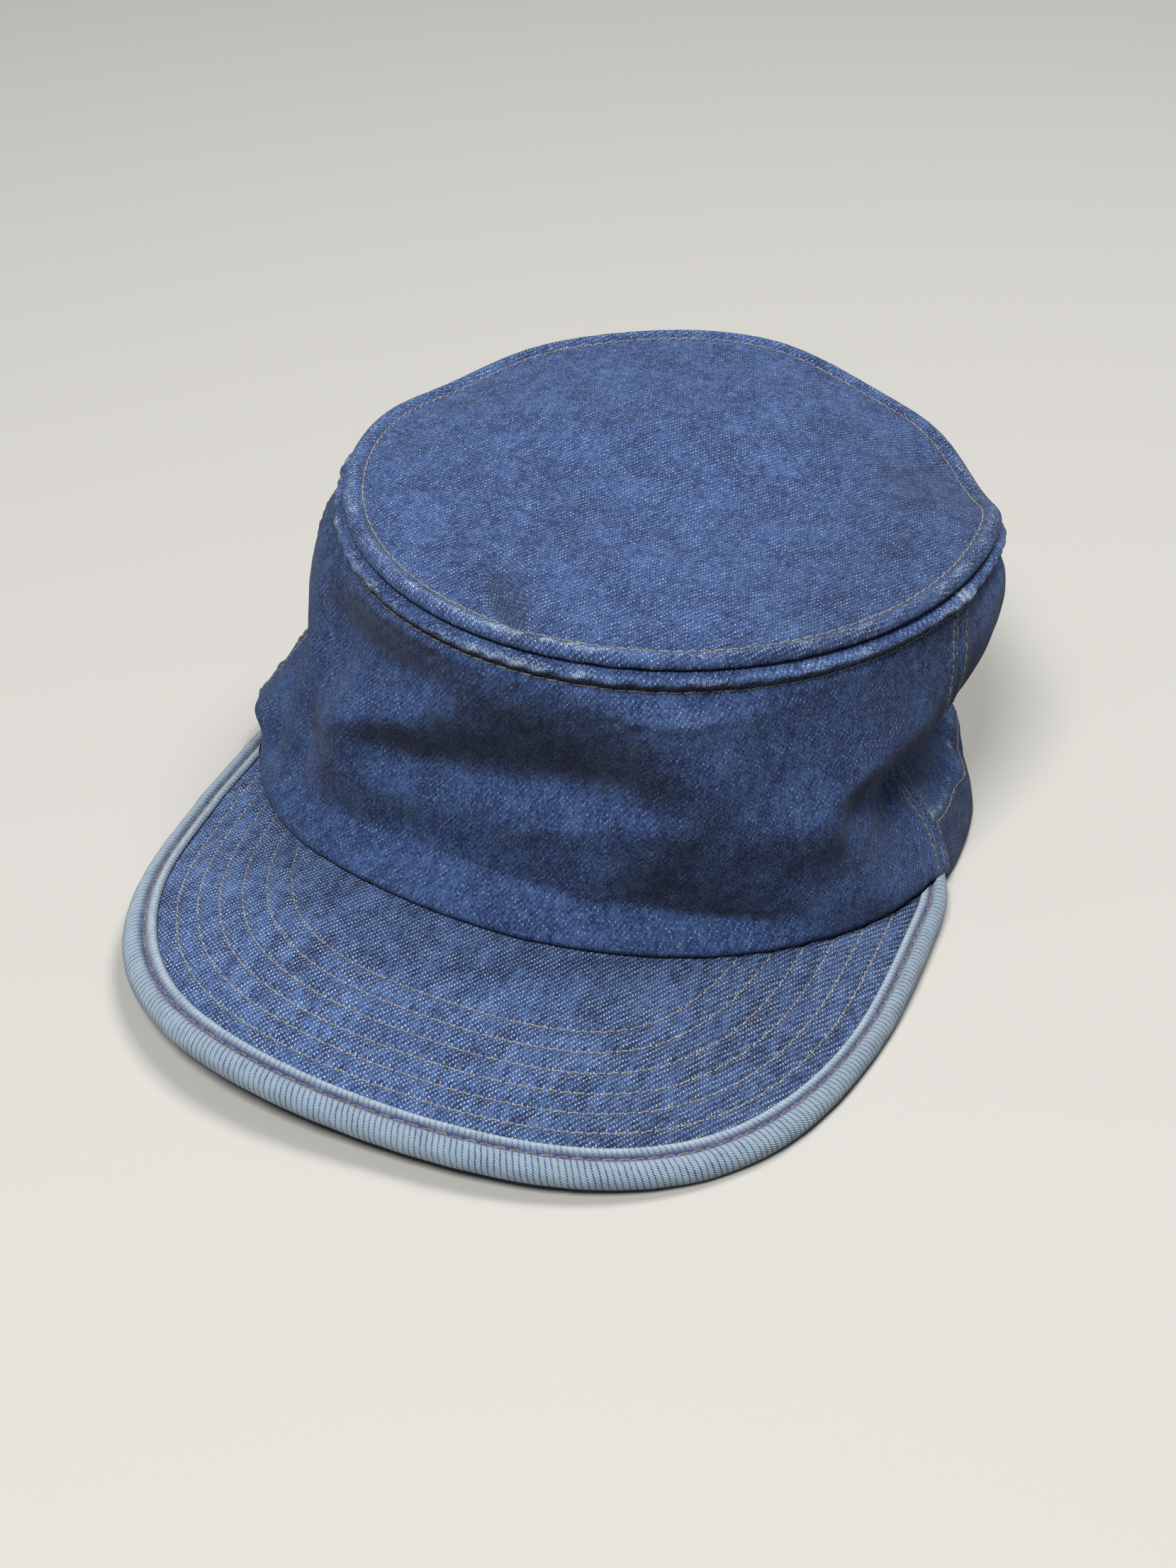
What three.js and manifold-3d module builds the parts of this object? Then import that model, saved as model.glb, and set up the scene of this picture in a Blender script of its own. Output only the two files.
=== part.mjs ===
// A soft work cap of washed denim, lying on its rim with its slouched wall folded as it fell.
// Millimetres, +Z up. The peak points towards -Y and the wearer's left is +X.
// Angles run round the head opening in degrees, from 0 at the front towards the wearer's left.
// Rise runs up the wall, from 0 at the rim to 1 at the seam of the round top.
import * as THREE from "three";
import { mergeVertices } from "three/addons/utils/BufferGeometryUtils.js";
import Module from "manifold-3d";

// Head opening, measured on the outside of the rim: about 600 mm round
const RIM = {
  x: -1.5,
  halfWidth: 94.6,
  front: 90.6,
  back: 95,
  frontPower: 2.12,
  backPower: 1.88,
  backFrom: 0.4, // how far back, as a share, its rear shape is reached
};

// Seam of the round top: it leans a little towards the wearer's left, where the wall has slumped
const SEAM = {
  x: 8.3,
  y: 8.2,
  halfWidth: 80.3,
  front: 90,
  back: 91,
  frontPower: 2,
  backPower: 1.74,
  height: 86,
  slopeX: -0.01,
  slopeY: -0.02,
};

const CLOTH = 2.2; // two layers of denim with the allowance inside
const GAP = 0.3; // clearance between neighbouring pieces
const GROOVE = 1.8; // how far the top seam is drawn in

// Puffy rolls on both sides of the top seam
const ROLL = { height: 4.8, puff: 1.5, drawnIn: 1.6, stitchDip: 0.5, stitchWidth: 1.2 };

// Stiff peak: an arched board whose sides come down to the surface it lies on
const PEAK = {
  board: 3,
  sideTop: 4.9,
  arch: 10.3,
  archHalfWidth: 95,
  frontDrop: 0.075,
  dropFrom: -60,
  cornerLift: 5,
  cornerFrom: -10,
  cornerTo: 50,
  lowestTop: 4.7, // here the binding's underside lies on the surface
  centreX: 0.4,
  centreY: -45.5,
  halfWidth: 88.8,
  reach: 103,
  power: 2.68,
  tuckFrom: 12,
  tuckLength: 20,
  tuck: 6,
  sideLength: 34,
  underHem: 4,
  endAngle: 75,
};

// Cross-section of the peak's binding: out from its inner edge, and up from the board's top
const BINDING_SECTION = [
  { out: 0.0, up: 0.3 },
  { out: 0.6, up: 1.4 },
  { out: 1.9, up: 1.7 },
  { out: 3.4, up: 0.9 },
  { out: 4.7, up: 1.7 },
  { out: 6.5, up: 1.4 },
  { out: 8.0, up: 0.2 },
  { out: 8.6, up: -1.5 },
  { out: 8.2, up: -3.2 },
  { out: 6.8, up: -4.4 },
  { out: 4.8, up: -4.7 },
  { out: 2.2, up: -4.4 },
  { out: 0.0, up: -3.3 },
  { out: 3.4, up: -3.3 },
  { out: 3.4, up: 0.3 },
];
const BOARD_EDGE = 3.1; // how far the board reaches into the binding
const NARROWER = { share: 0.22, from: -125, to: -85 }; // the binding along the sides, by how far forward

// The wall's bottom lies on the peak in front and on the surface behind
const LIFT_ENDS = { from: 75, to: 85 };

// Side seams, and the band along the rear of the rim
const SIDE_SEAM = { top: 76, bottom: 79, lap: 6.5, lapThickness: 0.7 };
// The side fold pulls the seam forward
const SEAM_PULL = { degrees: 4, rise: 0.36, spread: 0.13 };
const BAND_TOP = 0.22;

// Folds of the wall: a crease line from one place to another, its half-width and its depth in mm.
// A positive depth stands out and a negative one is a hollow.
const FOLDS = [
  { fold: "left overhang", angle1: 90, rise1: 0.78, angle2: 120, rise2: 0.76, width: 13, depth: 2.6 },
  { fold: "left hollow", angle1: 68, rise1: 0.36, angle2: 104, rise2: 0.4, width: 16, depth: -12 },
  { fold: "left hollow, rear", angle1: 106, rise1: 0.37, angle2: 148, rise2: 0.4, width: 17, depth: -11 },
  { fold: "left band edge", angle1: 98, rise1: 0.18, angle2: 118, rise2: 0.18, width: 6, depth: 3 },
  { fold: "left crease", angle1: 56, rise1: 0.43, angle2: 75, rise2: 0.4, width: 7, depth: -5 },
  { fold: "left bulge", angle1: 41, rise1: 0.29, angle2: 67, rise2: 0.42, width: 17, depth: 6 },
  { fold: "low crease", angle1: 39, rise1: 0.29, angle2: 51, rise2: 0.27, width: 10.9, depth: -4.3 },
  { fold: "low slump", angle1: -18, rise1: 0.19, angle2: 36, rise2: 0.03, width: 17, depth: -6.4 },
  { fold: "front ridge, left", angle1: 21, rise1: 0.36, angle2: 12, rise2: 0.59, width: 8.6, depth: 1.8 },
  { fold: "front ridge", angle1: -1, rise1: 0.34, angle2: 26, rise2: 0.46, width: 6.5, depth: 1.9 },
  { fold: "front hollow", angle1: -3, rise1: 0.47, angle2: 11, rise2: 0.51, width: 17, depth: -10.4 },
  { fold: "front hollow, right end", angle1: -23, rise1: 0.43, angle2: -16, rise2: 0.44, width: 10, depth: -5.2 },
  { fold: "front brow", angle1: 20, rise1: 0.95, angle2: 25, rise2: 0.67, width: 17, depth: 6 },
  { fold: "hem slump", angle1: -34, rise1: 0.09, angle2: 3, rise2: -0.03, width: 14, depth: -4.4 },
  { fold: "slanting ridge", angle1: -42, rise1: 0.44, angle2: -17, rise2: 0.68, width: 6.5, depth: 2.2 },
  { fold: "upper crease", angle1: -45, rise1: 0.73, angle2: -20, rise2: 0.7, width: 10.6, depth: -4.5 },
  { fold: "right crease", angle1: -47, rise1: 0.19, angle2: -43, rise2: 0.57, width: 9.2, depth: -3.5 },
  { fold: "right overhang", angle1: -50, rise1: 0.78, angle2: -90, rise2: 0.76, width: 14, depth: 2.5 },
  { fold: "right valley", angle1: -63, rise1: 0.5, angle2: -60, rise2: 0.12, width: 8, depth: -4 },
  { fold: "right lobe", angle1: -72, rise1: 0.12, angle2: -92, rise2: 0.11, width: 8, depth: 6 },
  { fold: "right pinch", angle1: -70, rise1: 0.5, angle2: -112, rise2: 0.46, width: 11, depth: -6 },
  { fold: "rear slump", angle1: 140, rise1: 0.4, angle2: 205, rise2: 0.5, width: 14, depth: -5 },
];

// Sags of the seam of the round top: where, how wide and how deep
const SEAM_SAGS = [
  { angle: -109, width: 15, drop: 3.8 },
  { angle: 119, width: 16, drop: 9.2 },
  { angle: 154, width: 26, drop: 6 },
];

const SAG_FROM = 0.5; // share of the way out at which the top begins to follow the sags

// Dents and swells of the round top
const TOP_DENTS = [
  { x: -7, y: -61, halfWidth: 2.6, halfLength: 12, turn: 34, depth: 1.3 },
  { x: -16, y: -58, halfWidth: 6, halfLength: 10, turn: 34, depth: -1.2 },
  { x: -10, y: 30, halfWidth: 40, halfLength: 30, turn: 0, depth: -3 },
  { x: 40, y: 5, halfWidth: 18, halfLength: 40, turn: 20, depth: 1.2 },
  { x: 25, y: -45, halfWidth: 22, halfLength: 14, turn: -10, depth: -1 },
];

// Segments round each piece, and from the front of the peak board to its back
const STEP = { front: 36, back: 40, top: 56, peak: 36, peakRows: 6, binding: 46, corner: 14, side: 6, rim: 120 };
const WALL_LENGTH_PER_DEGREE = 1.55;
const WALL_HEIGHT = 80;

// Rises of the rows on the open wall and, closer together, on the roll under the top seam
const ROLL_RISES = [0.925, 0.942, 0.96, 0.98, 0.996];
const BAND_RISES = [0, 0.05, 0.1, 0.16, BAND_TOP];
const PANEL_RISES = [0, 0.07, 0.15, 0.22, 0.29, 0.36, 0.43, 0.5, 0.57, 0.64, 0.72, 0.8, 0.87, ...ROLL_RISES];
const FREE_WALL = { from: 0.12, to: 0.86 }; // rises between which the folds have their full depth

const DENIM = { color: 0x34507f, roughness: 0.92, metalness: 0 };
const PALE_DENIM = { color: 0x8ca3b4, roughness: 0.95, metalness: 0 };

const radians = THREE.MathUtils.degToRad;
const mix = THREE.MathUtils.lerp;

function smooth(value, from, to) {
  return THREE.MathUtils.smoothstep(value, from, to);
}

// The same angle between -180 and 180
function signedAngle(angle) {
  return THREE.MathUtils.euclideanModulo(angle + 180, 360) - 180;
}

// An oval of unit half-axes at an angle from the front: a power of 2 is round, a higher one squarer
function oval(angle, power) {
  const x = Math.sin(radians(angle));
  const y = -Math.cos(radians(angle));
  const size = (Math.abs(x) ** power + Math.abs(y) ** power) ** (-1 / power);
  return [x * size, y * size];
}

// Oval of the rim's outer face, seen from above
function rimPlan(angle, inset = 0) {
  const backward = smooth(-Math.cos(radians(angle)), 0, RIM.backFrom);
  const [x, y] = oval(angle, mix(RIM.frontPower, RIM.backPower, backward));
  const length = y < 0 ? RIM.front : RIM.back;
  return [RIM.x + (RIM.halfWidth - inset) * x, (length - inset) * y];
}

function seamSag(angle) {
  let sag = 0;
  for (const row of SEAM_SAGS) {
    const away = signedAngle(angle - row.angle);
    sag += row.drop * Math.exp(-((away / row.width) ** 2));
  }
  return sag;
}

// A point on the seam of the round top, with a share below 1 for places inside it
function seamPoint(angle, share = 1) {
  const backward = smooth(-Math.cos(radians(angle)), 0, 1);
  const [ovalX, ovalY] = oval(angle, mix(SEAM.frontPower, SEAM.backPower, backward));
  const x = SEAM.x + SEAM.halfWidth * share * ovalX;
  const y = SEAM.y + (ovalY < 0 ? SEAM.front : SEAM.back) * share * ovalY;
  const sag = seamSag(angle) * smooth(share, SAG_FROM, 1);
  return new THREE.Vector3(x, y, SEAM.height + SEAM.slopeX * x + SEAM.slopeY * y - sag);
}

// Height of the peak's top face
function peakTop(x, y) {
  const side = Math.min(Math.abs(x) / PEAK.archHalfWidth, 1);
  const drop = PEAK.frontDrop * Math.max(PEAK.dropFrom - y, 0);
  const corner = smooth(-x, PEAK.cornerFrom, PEAK.cornerTo) * smooth(PEAK.dropFrom - y, 0, PEAK.reach / 2);
  const lift = PEAK.cornerLift * corner;
  return Math.max(PEAK.sideTop + PEAK.arch * (1 - side ** 2) - drop + lift, PEAK.lowestTop);
}

// Height of the wall's lower edge
function rimHeight(angle, inset) {
  const [x, y] = rimPlan(angle, inset);
  const onPeak = 1 - smooth(Math.abs(signedAngle(angle)), LIFT_ENDS.from, LIFT_ENDS.to);
  return (peakTop(x, y) + GAP) * onPeak;
}

// How far the folds push a place on the wall out, in mm
function foldDepth(angle, rise) {
  const free = smooth(rise, 0, FREE_WALL.from) * (1 - smooth(rise, FREE_WALL.to, ROLL_RISES[0]));
  let depth = 0;
  for (const row of FOLDS) {
    for (const turn of [-360, 0, 360]) {
      const start = [(row.angle1 + turn) * WALL_LENGTH_PER_DEGREE, row.rise1 * WALL_HEIGHT];
      const end = [(row.angle2 + turn) * WALL_LENGTH_PER_DEGREE, row.rise2 * WALL_HEIGHT];
      const along = [end[0] - start[0], end[1] - start[1]];
      const here = [angle * WALL_LENGTH_PER_DEGREE - start[0], rise * WALL_HEIGHT - start[1]];
      const dot = here[0] * along[0] + here[1] * along[1];
      const share = THREE.MathUtils.clamp(dot / (along[0] ** 2 + along[1] ** 2), 0, 1);
      const away = Math.hypot(here[0] - share * along[0], here[1] - share * along[1]);
      depth += row.depth * Math.exp(-((away / row.width) ** 2));
    }
  }
  return depth * free;
}

// How far the roll under the top seam stands out, by the distance down from the seam
function rollPuff(below) {
  if (below > 2 * ROLL.height) return 0;
  const round = Math.max(Math.sin((Math.PI * below) / ROLL.height), 0) * ROLL.puff;
  const drawnIn = -GROOVE * (1 - smooth(below, 0, ROLL.drawnIn));
  const stitched = -ROLL.stitchDip * Math.exp(-(((below - ROLL.height) / ROLL.stitchWidth) ** 2));
  return (below < ROLL.height ? round : 0) + drawnIn + stitched;
}

// Angle of the side seam at a rise, on the wearer's left
function sideSeamAngle(rise) {
  const pulled = SEAM_PULL.degrees * Math.exp(-(((rise - SEAM_PULL.rise) / SEAM_PULL.spread) ** 2));
  return mix(SIDE_SEAM.bottom, SIDE_SEAM.top, rise) - pulled;
}

// Thickness that the folded side seam adds near its edge
function seamLap(angle, rise) {
  const away = Math.abs(Math.abs(signedAngle(angle)) - sideSeamAngle(rise)) * WALL_LENGTH_PER_DEGREE;
  return SIDE_SEAM.lapThickness * (1 - smooth(away, SIDE_SEAM.lap / 2, SIDE_SEAM.lap));
}

// The wall: its outer face, or a face `inset` behind it
function wallPoint(angle, rise, inset = 0) {
  const [rimX, rimY] = rimPlan(angle);
  const seam = seamPoint(angle);
  const low = rimHeight(angle, inset);
  const height = mix(low, seam.z, rise);
  const below = seam.z - height;
  const out = foldDepth(angle, rise) + rollPuff(below) + seamLap(angle, rise) - inset;
  return new THREE.Vector3(
    mix(rimX, seam.x, rise) + out * Math.sin(radians(angle)),
    mix(rimY, seam.y, rise) - out * Math.cos(radians(angle)),
    height,
  );
}

// Closes a sheet between an outer and an inner face, both given as point(column, row)
function sheetSolid(columns, rows, outer, inner) {
  const positions = [];
  const wide = rows + 1;
  const layer = (columns + 1) * wide;
  for (const face of [outer, inner]) {
    for (let column = 0; column <= columns; column += 1) {
      for (let row = 0; row <= rows; row += 1) positions.push(...face(column, row).toArray());
    }
  }
  const index = [];
  const quad = (a, b, c, d) => index.push(a, b, c, a, c, d);
  for (let column = 0; column < columns; column += 1) {
    for (let row = 0; row < rows; row += 1) {
      const here = column * wide + row;
      quad(here, here + wide, here + wide + 1, here + 1);
      quad(layer + here, layer + here + 1, layer + here + wide + 1, layer + here + wide);
    }
    const bottom = column * wide;
    const top = bottom + rows;
    quad(bottom, layer + bottom, layer + bottom + wide, bottom + wide);
    quad(top, top + wide, layer + top + wide, layer + top);
  }
  const last = columns * wide;
  for (let row = 0; row < rows; row += 1) {
    quad(row, row + 1, layer + row + 1, layer + row);
    quad(last + row, layer + last + row, layer + last + row + 1, last + row + 1);
  }
  const geometry = new THREE.BufferGeometry();
  geometry.setAttribute("position", new THREE.Float32BufferAttribute(positions, 3));
  geometry.setIndex(index);
  return geometry;
}

// A stretch of wall between two rises and between two edges, each edge an angle by rise
function wallSheet(steps, rises, startAngle, endAngle) {
  const angle = (column, rise) => mix(startAngle(rise), endAngle(rise), column / steps);
  const face = (inset) => (column, row) => wallPoint(angle(column, rises[row]), rises[row], inset);
  return sheetSolid(steps, rises.length - 1, face(0), face(CLOTH));
}

function frontPanel() {
  const half = GAP / 2 / WALL_LENGTH_PER_DEGREE;
  const edge = (rise) => sideSeamAngle(rise) - half;
  return wallSheet(STEP.front, PANEL_RISES, (rise) => -edge(rise), edge);
}

function backPanel() {
  const half = GAP / 2 / WALL_LENGTH_PER_DEGREE;
  const low = BAND_TOP + GAP / WALL_HEIGHT;
  const rises = [low, ...PANEL_RISES.filter((rise) => rise > low)];
  const start = (rise) => sideSeamAngle(rise) + half;
  return wallSheet(STEP.back, rises, start, (rise) => 360 - start(rise));
}

function backBand() {
  const half = GAP / 2 / WALL_LENGTH_PER_DEGREE;
  const start = (rise) => sideSeamAngle(rise) + half;
  return wallSheet(STEP.back, BAND_RISES, start, (rise) => 360 - start(rise));
}

// Swell of the round top at a place
function topSwell(x, y) {
  let swell = 0;
  for (const dent of TOP_DENTS) {
    const turn = radians(dent.turn);
    const dx = x - dent.x;
    const dy = y - dent.y;
    const across = (dx * Math.cos(turn) + dy * Math.sin(turn)) / dent.halfWidth;
    const along = (dy * Math.cos(turn) - dx * Math.sin(turn)) / dent.halfLength;
    swell -= dent.depth * Math.exp(-(across ** 2 + along ** 2));
  }
  return swell;
}

// Section of the round top, from the middle of its underside out to the seam and back over the top:
// how far in from the seam, and how far up
const TOP_SECTION = [
  { in: 64, up: 1.4 },
  { in: 46, up: 1.3 },
  { in: 30, up: 1.0 },
  { in: 16, up: 0.6 },
  { in: 7.5, up: 0.2 },
  { in: 1.6, up: 0.2 },
  { in: 0.0, up: 1.0 },
  { in: 0.3, up: 2.5 },
  { in: 1.8, up: 3.4 },
  { in: 3.6, up: 3.0 },
  { in: 5.0, up: 2.2 },
  { in: 7.5, up: 2.4 },
  { in: 16, up: 2.8 },
  { in: 30, up: 3.2 },
  { in: 46, up: 3.5 },
  { in: 64, up: 3.6 },
];

// The round top as one closed body: its section carried round the seam, with a fan at each middle
function crownTop() {
  const positions = [];
  const index = [];
  const meanRadius = (SEAM.halfWidth + SEAM.front) / 2;
  const lift = (point, up, loose) => {
    point.z += up + topSwell(point.x, point.y) * loose;
    positions.push(...point.toArray());
  };
  const around = STEP.top;
  for (const ring of TOP_SECTION) {
    for (let step = 0; step < around; step += 1) {
      lift(seamPoint((360 * step) / around, 1 - ring.in / meanRadius), ring.up, smooth(ring.in, 5, 20));
    }
  }
  const last = TOP_SECTION.length - 1;
  lift(seamPoint(0, 0), TOP_SECTION[0].up, 1);
  lift(seamPoint(0, 0), TOP_SECTION[last].up, 1);
  const lowMiddle = TOP_SECTION.length * around;
  for (let step = 0; step < around; step += 1) {
    const next = (step + 1) % around;
    for (let ring = 0; ring < last; ring += 1) {
      const a = ring * around;
      const b = a + around;
      index.push(a + step, a + next, b + next, a + step, b + next, b + step);
    }
    index.push(step, lowMiddle, next);
    index.push(last * around + step, last * around + next, lowMiddle + 1);
  }
  const geometry = new THREE.BufferGeometry();
  geometry.setAttribute("position", new THREE.Float32BufferAttribute(positions, 3));
  geometry.setIndex(index);
  return geometry;
}

// Inner edge of the binding seen from above, from the wearer's right end to the left end
function peakOutline() {
  const half = [];
  for (let step = 0; step <= STEP.corner; step += 1) {
    const turn = (Math.PI / 2) * (step / STEP.corner);
    const x = PEAK.halfWidth * Math.sin(turn) ** (2 / PEAK.power);
    const y = PEAK.centreY - PEAK.reach * Math.cos(turn) ** (2 / PEAK.power);
    half.push(new THREE.Vector2(x, y));
  }
  for (let step = 1; step <= STEP.side; step += 1) {
    const back = PEAK.sideLength * (step / STEP.side);
    const tucked = PEAK.tuck * Math.max((back - PEAK.tuckFrom) / PEAK.tuckLength, 0) ** 2;
    half.push(new THREE.Vector2(PEAK.halfWidth - tucked, PEAK.centreY + back));
  }
  const mirrored = half.slice(1).reverse().map((point) => new THREE.Vector2(-point.x, point.y));
  const whole = [...mirrored, ...half].map((point) => point.setX(point.x + PEAK.centreX));
  return new THREE.SplineCurve(whole);
}

// A place on the outline moved outwards by `out`, and by less where the binding is narrower
function outlinePoint(outline, share, out) {
  const point = outline.getPointAt(share);
  const tangent = outline.getTangentAt(share);
  const far = out * (1 - NARROWER.share * smooth(point.y, NARROWER.from, NARROWER.to));
  return new THREE.Vector2(point.x + tangent.y * far, point.y - tangent.x * far);
}

const SHARE_STEP = 0.002; // of the outline, about 0.8 mm

// The share of the outline where the board goes in under the wall
function boardEndShare(outline) {
  const endY = rimPlan(PEAK.endAngle)[1];
  let share = 1;
  while (outline.getPointAt(share).y > endY) share -= SHARE_STEP;
  return share;
}

function peakBoard() {
  const outline = peakOutline();
  const end = boardEndShare(outline);
  const rows = STEP.peakRows;
  const plan = (column, row) => {
    const share = mix(1 - end, end, column / STEP.peak);
    const outer = outlinePoint(outline, share, BOARD_EDGE);
    const [x, y] = rimPlan(mix(-PEAK.endAngle, PEAK.endAngle, column / STEP.peak), PEAK.underHem);
    return new THREE.Vector2(mix(outer.x, x, row / rows), mix(outer.y, y, row / rows));
  };
  const face = (thickness) => (column, row) => {
    const { x, y } = plan(column, row);
    return new THREE.Vector3(x, y, peakTop(x, y) - thickness);
  };
  return sheetSolid(STEP.peak, rows, face(0), face(PEAK.board));
}

// The binding's section swept along the outline, before its ends are cut
function bindingSweep() {
  const outline = peakOutline();
  const positions = [];
  const index = [];
  const count = BINDING_SECTION.length;
  for (let step = 0; step <= STEP.binding; step += 1) {
    const share = step / STEP.binding;
    for (const { out, up } of BINDING_SECTION) {
      const place = outlinePoint(outline, share, out);
      const seat = outlinePoint(outline, share, Math.min(out, BOARD_EDGE + GAP));
      positions.push(place.x, place.y, peakTop(seat.x, seat.y) + up);
    }
  }
  for (let step = 0; step < STEP.binding; step += 1) {
    for (let corner = 0; corner < count; corner += 1) {
      const next = (corner + 1) % count;
      const a = step * count + corner;
      const b = step * count + next;
      index.push(a, b + count, a + count, a, b, b + count);
    }
  }
  const outline2d = BINDING_SECTION.map(({ out, up }) => new THREE.Vector2(out, up));
  for (const [a, b, c] of THREE.ShapeUtils.triangulateShape(outline2d, [])) {
    const last = STEP.binding * count;
    index.push(a, b, c, last + a, last + c, last + b);
  }
  const geometry = new THREE.BufferGeometry();
  geometry.setAttribute("position", new THREE.Float32BufferAttribute(positions, 3));
  geometry.setIndex(index);
  return geometry;
}

const PRISM = { bottom: -20, height: 60 }; // from below the binding to above it

// Upright oval prism that fills the head opening out to just past the wall
function rimPrism() {
  const shape = new THREE.Shape();
  for (let step = 0; step < STEP.rim; step += 1) {
    const [x, y] = rimPlan((360 * step) / STEP.rim, -(SIDE_SEAM.lapThickness + GAP));
    if (step === 0) shape.moveTo(x, y);
    else shape.lineTo(x, y);
  }
  shape.closePath();
  const prism = new THREE.ExtrudeGeometry(shape, { depth: PRISM.height, bevelEnabled: false });
  prism.translate(0, 0, PRISM.bottom);
  return prism;
}

const SAME_PLACE = 0.0005; // vertices closer than this are one

function toSolid(wasm, geometry) {
  const bare = new THREE.BufferGeometry();
  bare.setAttribute("position", geometry.getAttribute("position").clone());
  if (geometry.getIndex()) bare.setIndex(geometry.getIndex().clone());
  const merged = mergeVertices(bare, SAME_PLACE);
  return new wasm.Manifold(
    new wasm.Mesh({
      numProp: 3,
      vertProperties: new Float32Array(merged.getAttribute("position").array),
      triVerts: new Uint32Array(merged.getIndex().array),
    }),
  );
}

function fromSolid(solid) {
  const mesh = solid.getMesh();
  const geometry = new THREE.BufferGeometry();
  geometry.setAttribute("position", new THREE.BufferAttribute(new Float32Array(mesh.vertProperties), 3));
  geometry.setIndex(new THREE.BufferAttribute(new Uint32Array(mesh.triVerts), 1));
  return geometry;
}

// The binding ends where it goes in under the wall's hem
function peakBinding(wasm) {
  return fromSolid(toSolid(wasm, bindingSweep()).subtract(toSolid(wasm, rimPrism())));
}

function addPiece(group, name, geometry, finish) {
  geometry.computeVertexNormals();
  const mesh = new THREE.Mesh(geometry, new THREE.MeshStandardMaterial(finish));
  mesh.name = name;
  group.add(mesh);
}

async function buildCap() {
  const wasm = await Module();
  wasm.setup();
  const cap = new THREE.Group();
  addPiece(cap, "crown_top", crownTop(), DENIM);
  addPiece(cap, "front_panel", frontPanel(), DENIM);
  addPiece(cap, "back_panel", backPanel(), DENIM);
  addPiece(cap, "back_band", backBand(), DENIM);
  addPiece(cap, "peak", peakBoard(), DENIM);
  addPiece(cap, "peak_binding", peakBinding(wasm), PALE_DENIM);
  return cap;
}

// The origin is the middle of the cap's box, on the surface that it lies on
const cap = await buildCap();
const box = new THREE.Box3().setFromObject(cap);
cap.position.set(-(box.min.x + box.max.x) / 2, -(box.min.y + box.max.y) / 2, -box.min.z);

export default cap;
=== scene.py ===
"""A soft work cap of washed denim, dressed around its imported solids.

Lengths in the classes are millimetres in the cap's own frame: its origin is the middle of the rim, on the
surface that the cap lies on, the peak points towards -Y and the wearer's left is +X. Angles run round the
head opening in degrees, from 0 at the front towards the wearer's left. Rise runs up the wall, from 0 at the
rim to 1 at the seam of the round top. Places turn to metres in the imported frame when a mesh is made.
"""

from __future__ import annotations

import logging
from collections.abc import Mapping, Sequence
from dataclasses import dataclass, field, replace
from enum import Enum

import bpy
import numpy as np
from mathutils import Matrix, Vector

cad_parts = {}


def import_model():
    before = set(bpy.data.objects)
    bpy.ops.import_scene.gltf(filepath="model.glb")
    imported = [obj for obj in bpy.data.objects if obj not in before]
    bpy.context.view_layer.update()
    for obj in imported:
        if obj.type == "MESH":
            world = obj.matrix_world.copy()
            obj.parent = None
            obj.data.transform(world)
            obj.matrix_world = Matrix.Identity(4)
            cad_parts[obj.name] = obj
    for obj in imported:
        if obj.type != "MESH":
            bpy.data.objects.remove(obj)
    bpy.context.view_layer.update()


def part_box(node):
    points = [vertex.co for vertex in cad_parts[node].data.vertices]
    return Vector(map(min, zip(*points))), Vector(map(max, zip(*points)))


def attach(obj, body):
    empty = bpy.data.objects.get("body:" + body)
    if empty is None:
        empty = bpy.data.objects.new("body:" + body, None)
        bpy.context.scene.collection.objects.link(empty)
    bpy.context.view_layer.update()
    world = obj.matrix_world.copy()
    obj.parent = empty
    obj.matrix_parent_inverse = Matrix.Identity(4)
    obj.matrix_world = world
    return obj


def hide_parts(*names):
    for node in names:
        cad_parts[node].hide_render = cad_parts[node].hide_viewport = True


LOG = logging.getLogger("cap")
MM = 0.001
BODY = "root"
CLOTH_MAP = "cloth"
WEAR_AND_PLY_SHADE = "wear"
# Mask of painted shade on the denim and the binding's underside, also the groove's blue and the pale stitch
# ends
PAINTED_SHADE_AND_MARKS = "painted_shade_and_marks"

# How far to both sides a surface's direction is read: degrees round, a share of the rise, mm inwards, mm
READ_TURN = 0.2
READ_RISE = 0.004
READ_INWARD = 0.4
READ_SLOPE = 0.5

Array = np.ndarray
Socket = bpy.types.NodeSocket
Colour = tuple[float, float, float, float]
Feed = Socket | float | Sequence[float]


class Slot(Enum):
    """Two material slot names, which no piece here uses."""

    DENIM = "denim"
    PALE = "pale_denim"


class Side(Enum):
    """The two faces of the cloth, by the material index that they take."""

    OUTSIDE = 0
    INSIDE = 1


def smooth(value: Array, low: float, high: float) -> Array:
    """Rises softly from 0 at low to 1 at high.

    Args:
        value: where to read the step.
        low: the value at which it leaves 0.
        high: the value at which it reaches 1.

    Returns:
        The height of the step at each value.
    """
    share = np.clip((np.asarray(value, float) - low) / (high - low), 0, 1)
    return share * share * (3 - 2 * share)


def mix(low: Array, high: Array, share: Array) -> Array:
    """Goes from low to high as share goes from 0 to 1."""
    return low + (high - low) * share


def bell(value: Array, width: float) -> Array:
    """A soft bump of height 1 at 0 that falls away over a width."""
    return np.exp(-((np.asarray(value, float) / width) ** 2))


def unit(vectors: Array) -> Array:
    """The same directions with length 1."""
    return vectors / np.maximum(np.linalg.norm(vectors, axis=-1, keepdims=True), 1e-9)


def signed(angle: Array) -> Array:
    """The same angle between -180 and 180 degrees."""
    return np.mod(np.asarray(angle, float) + 180, 360) - 180


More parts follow.
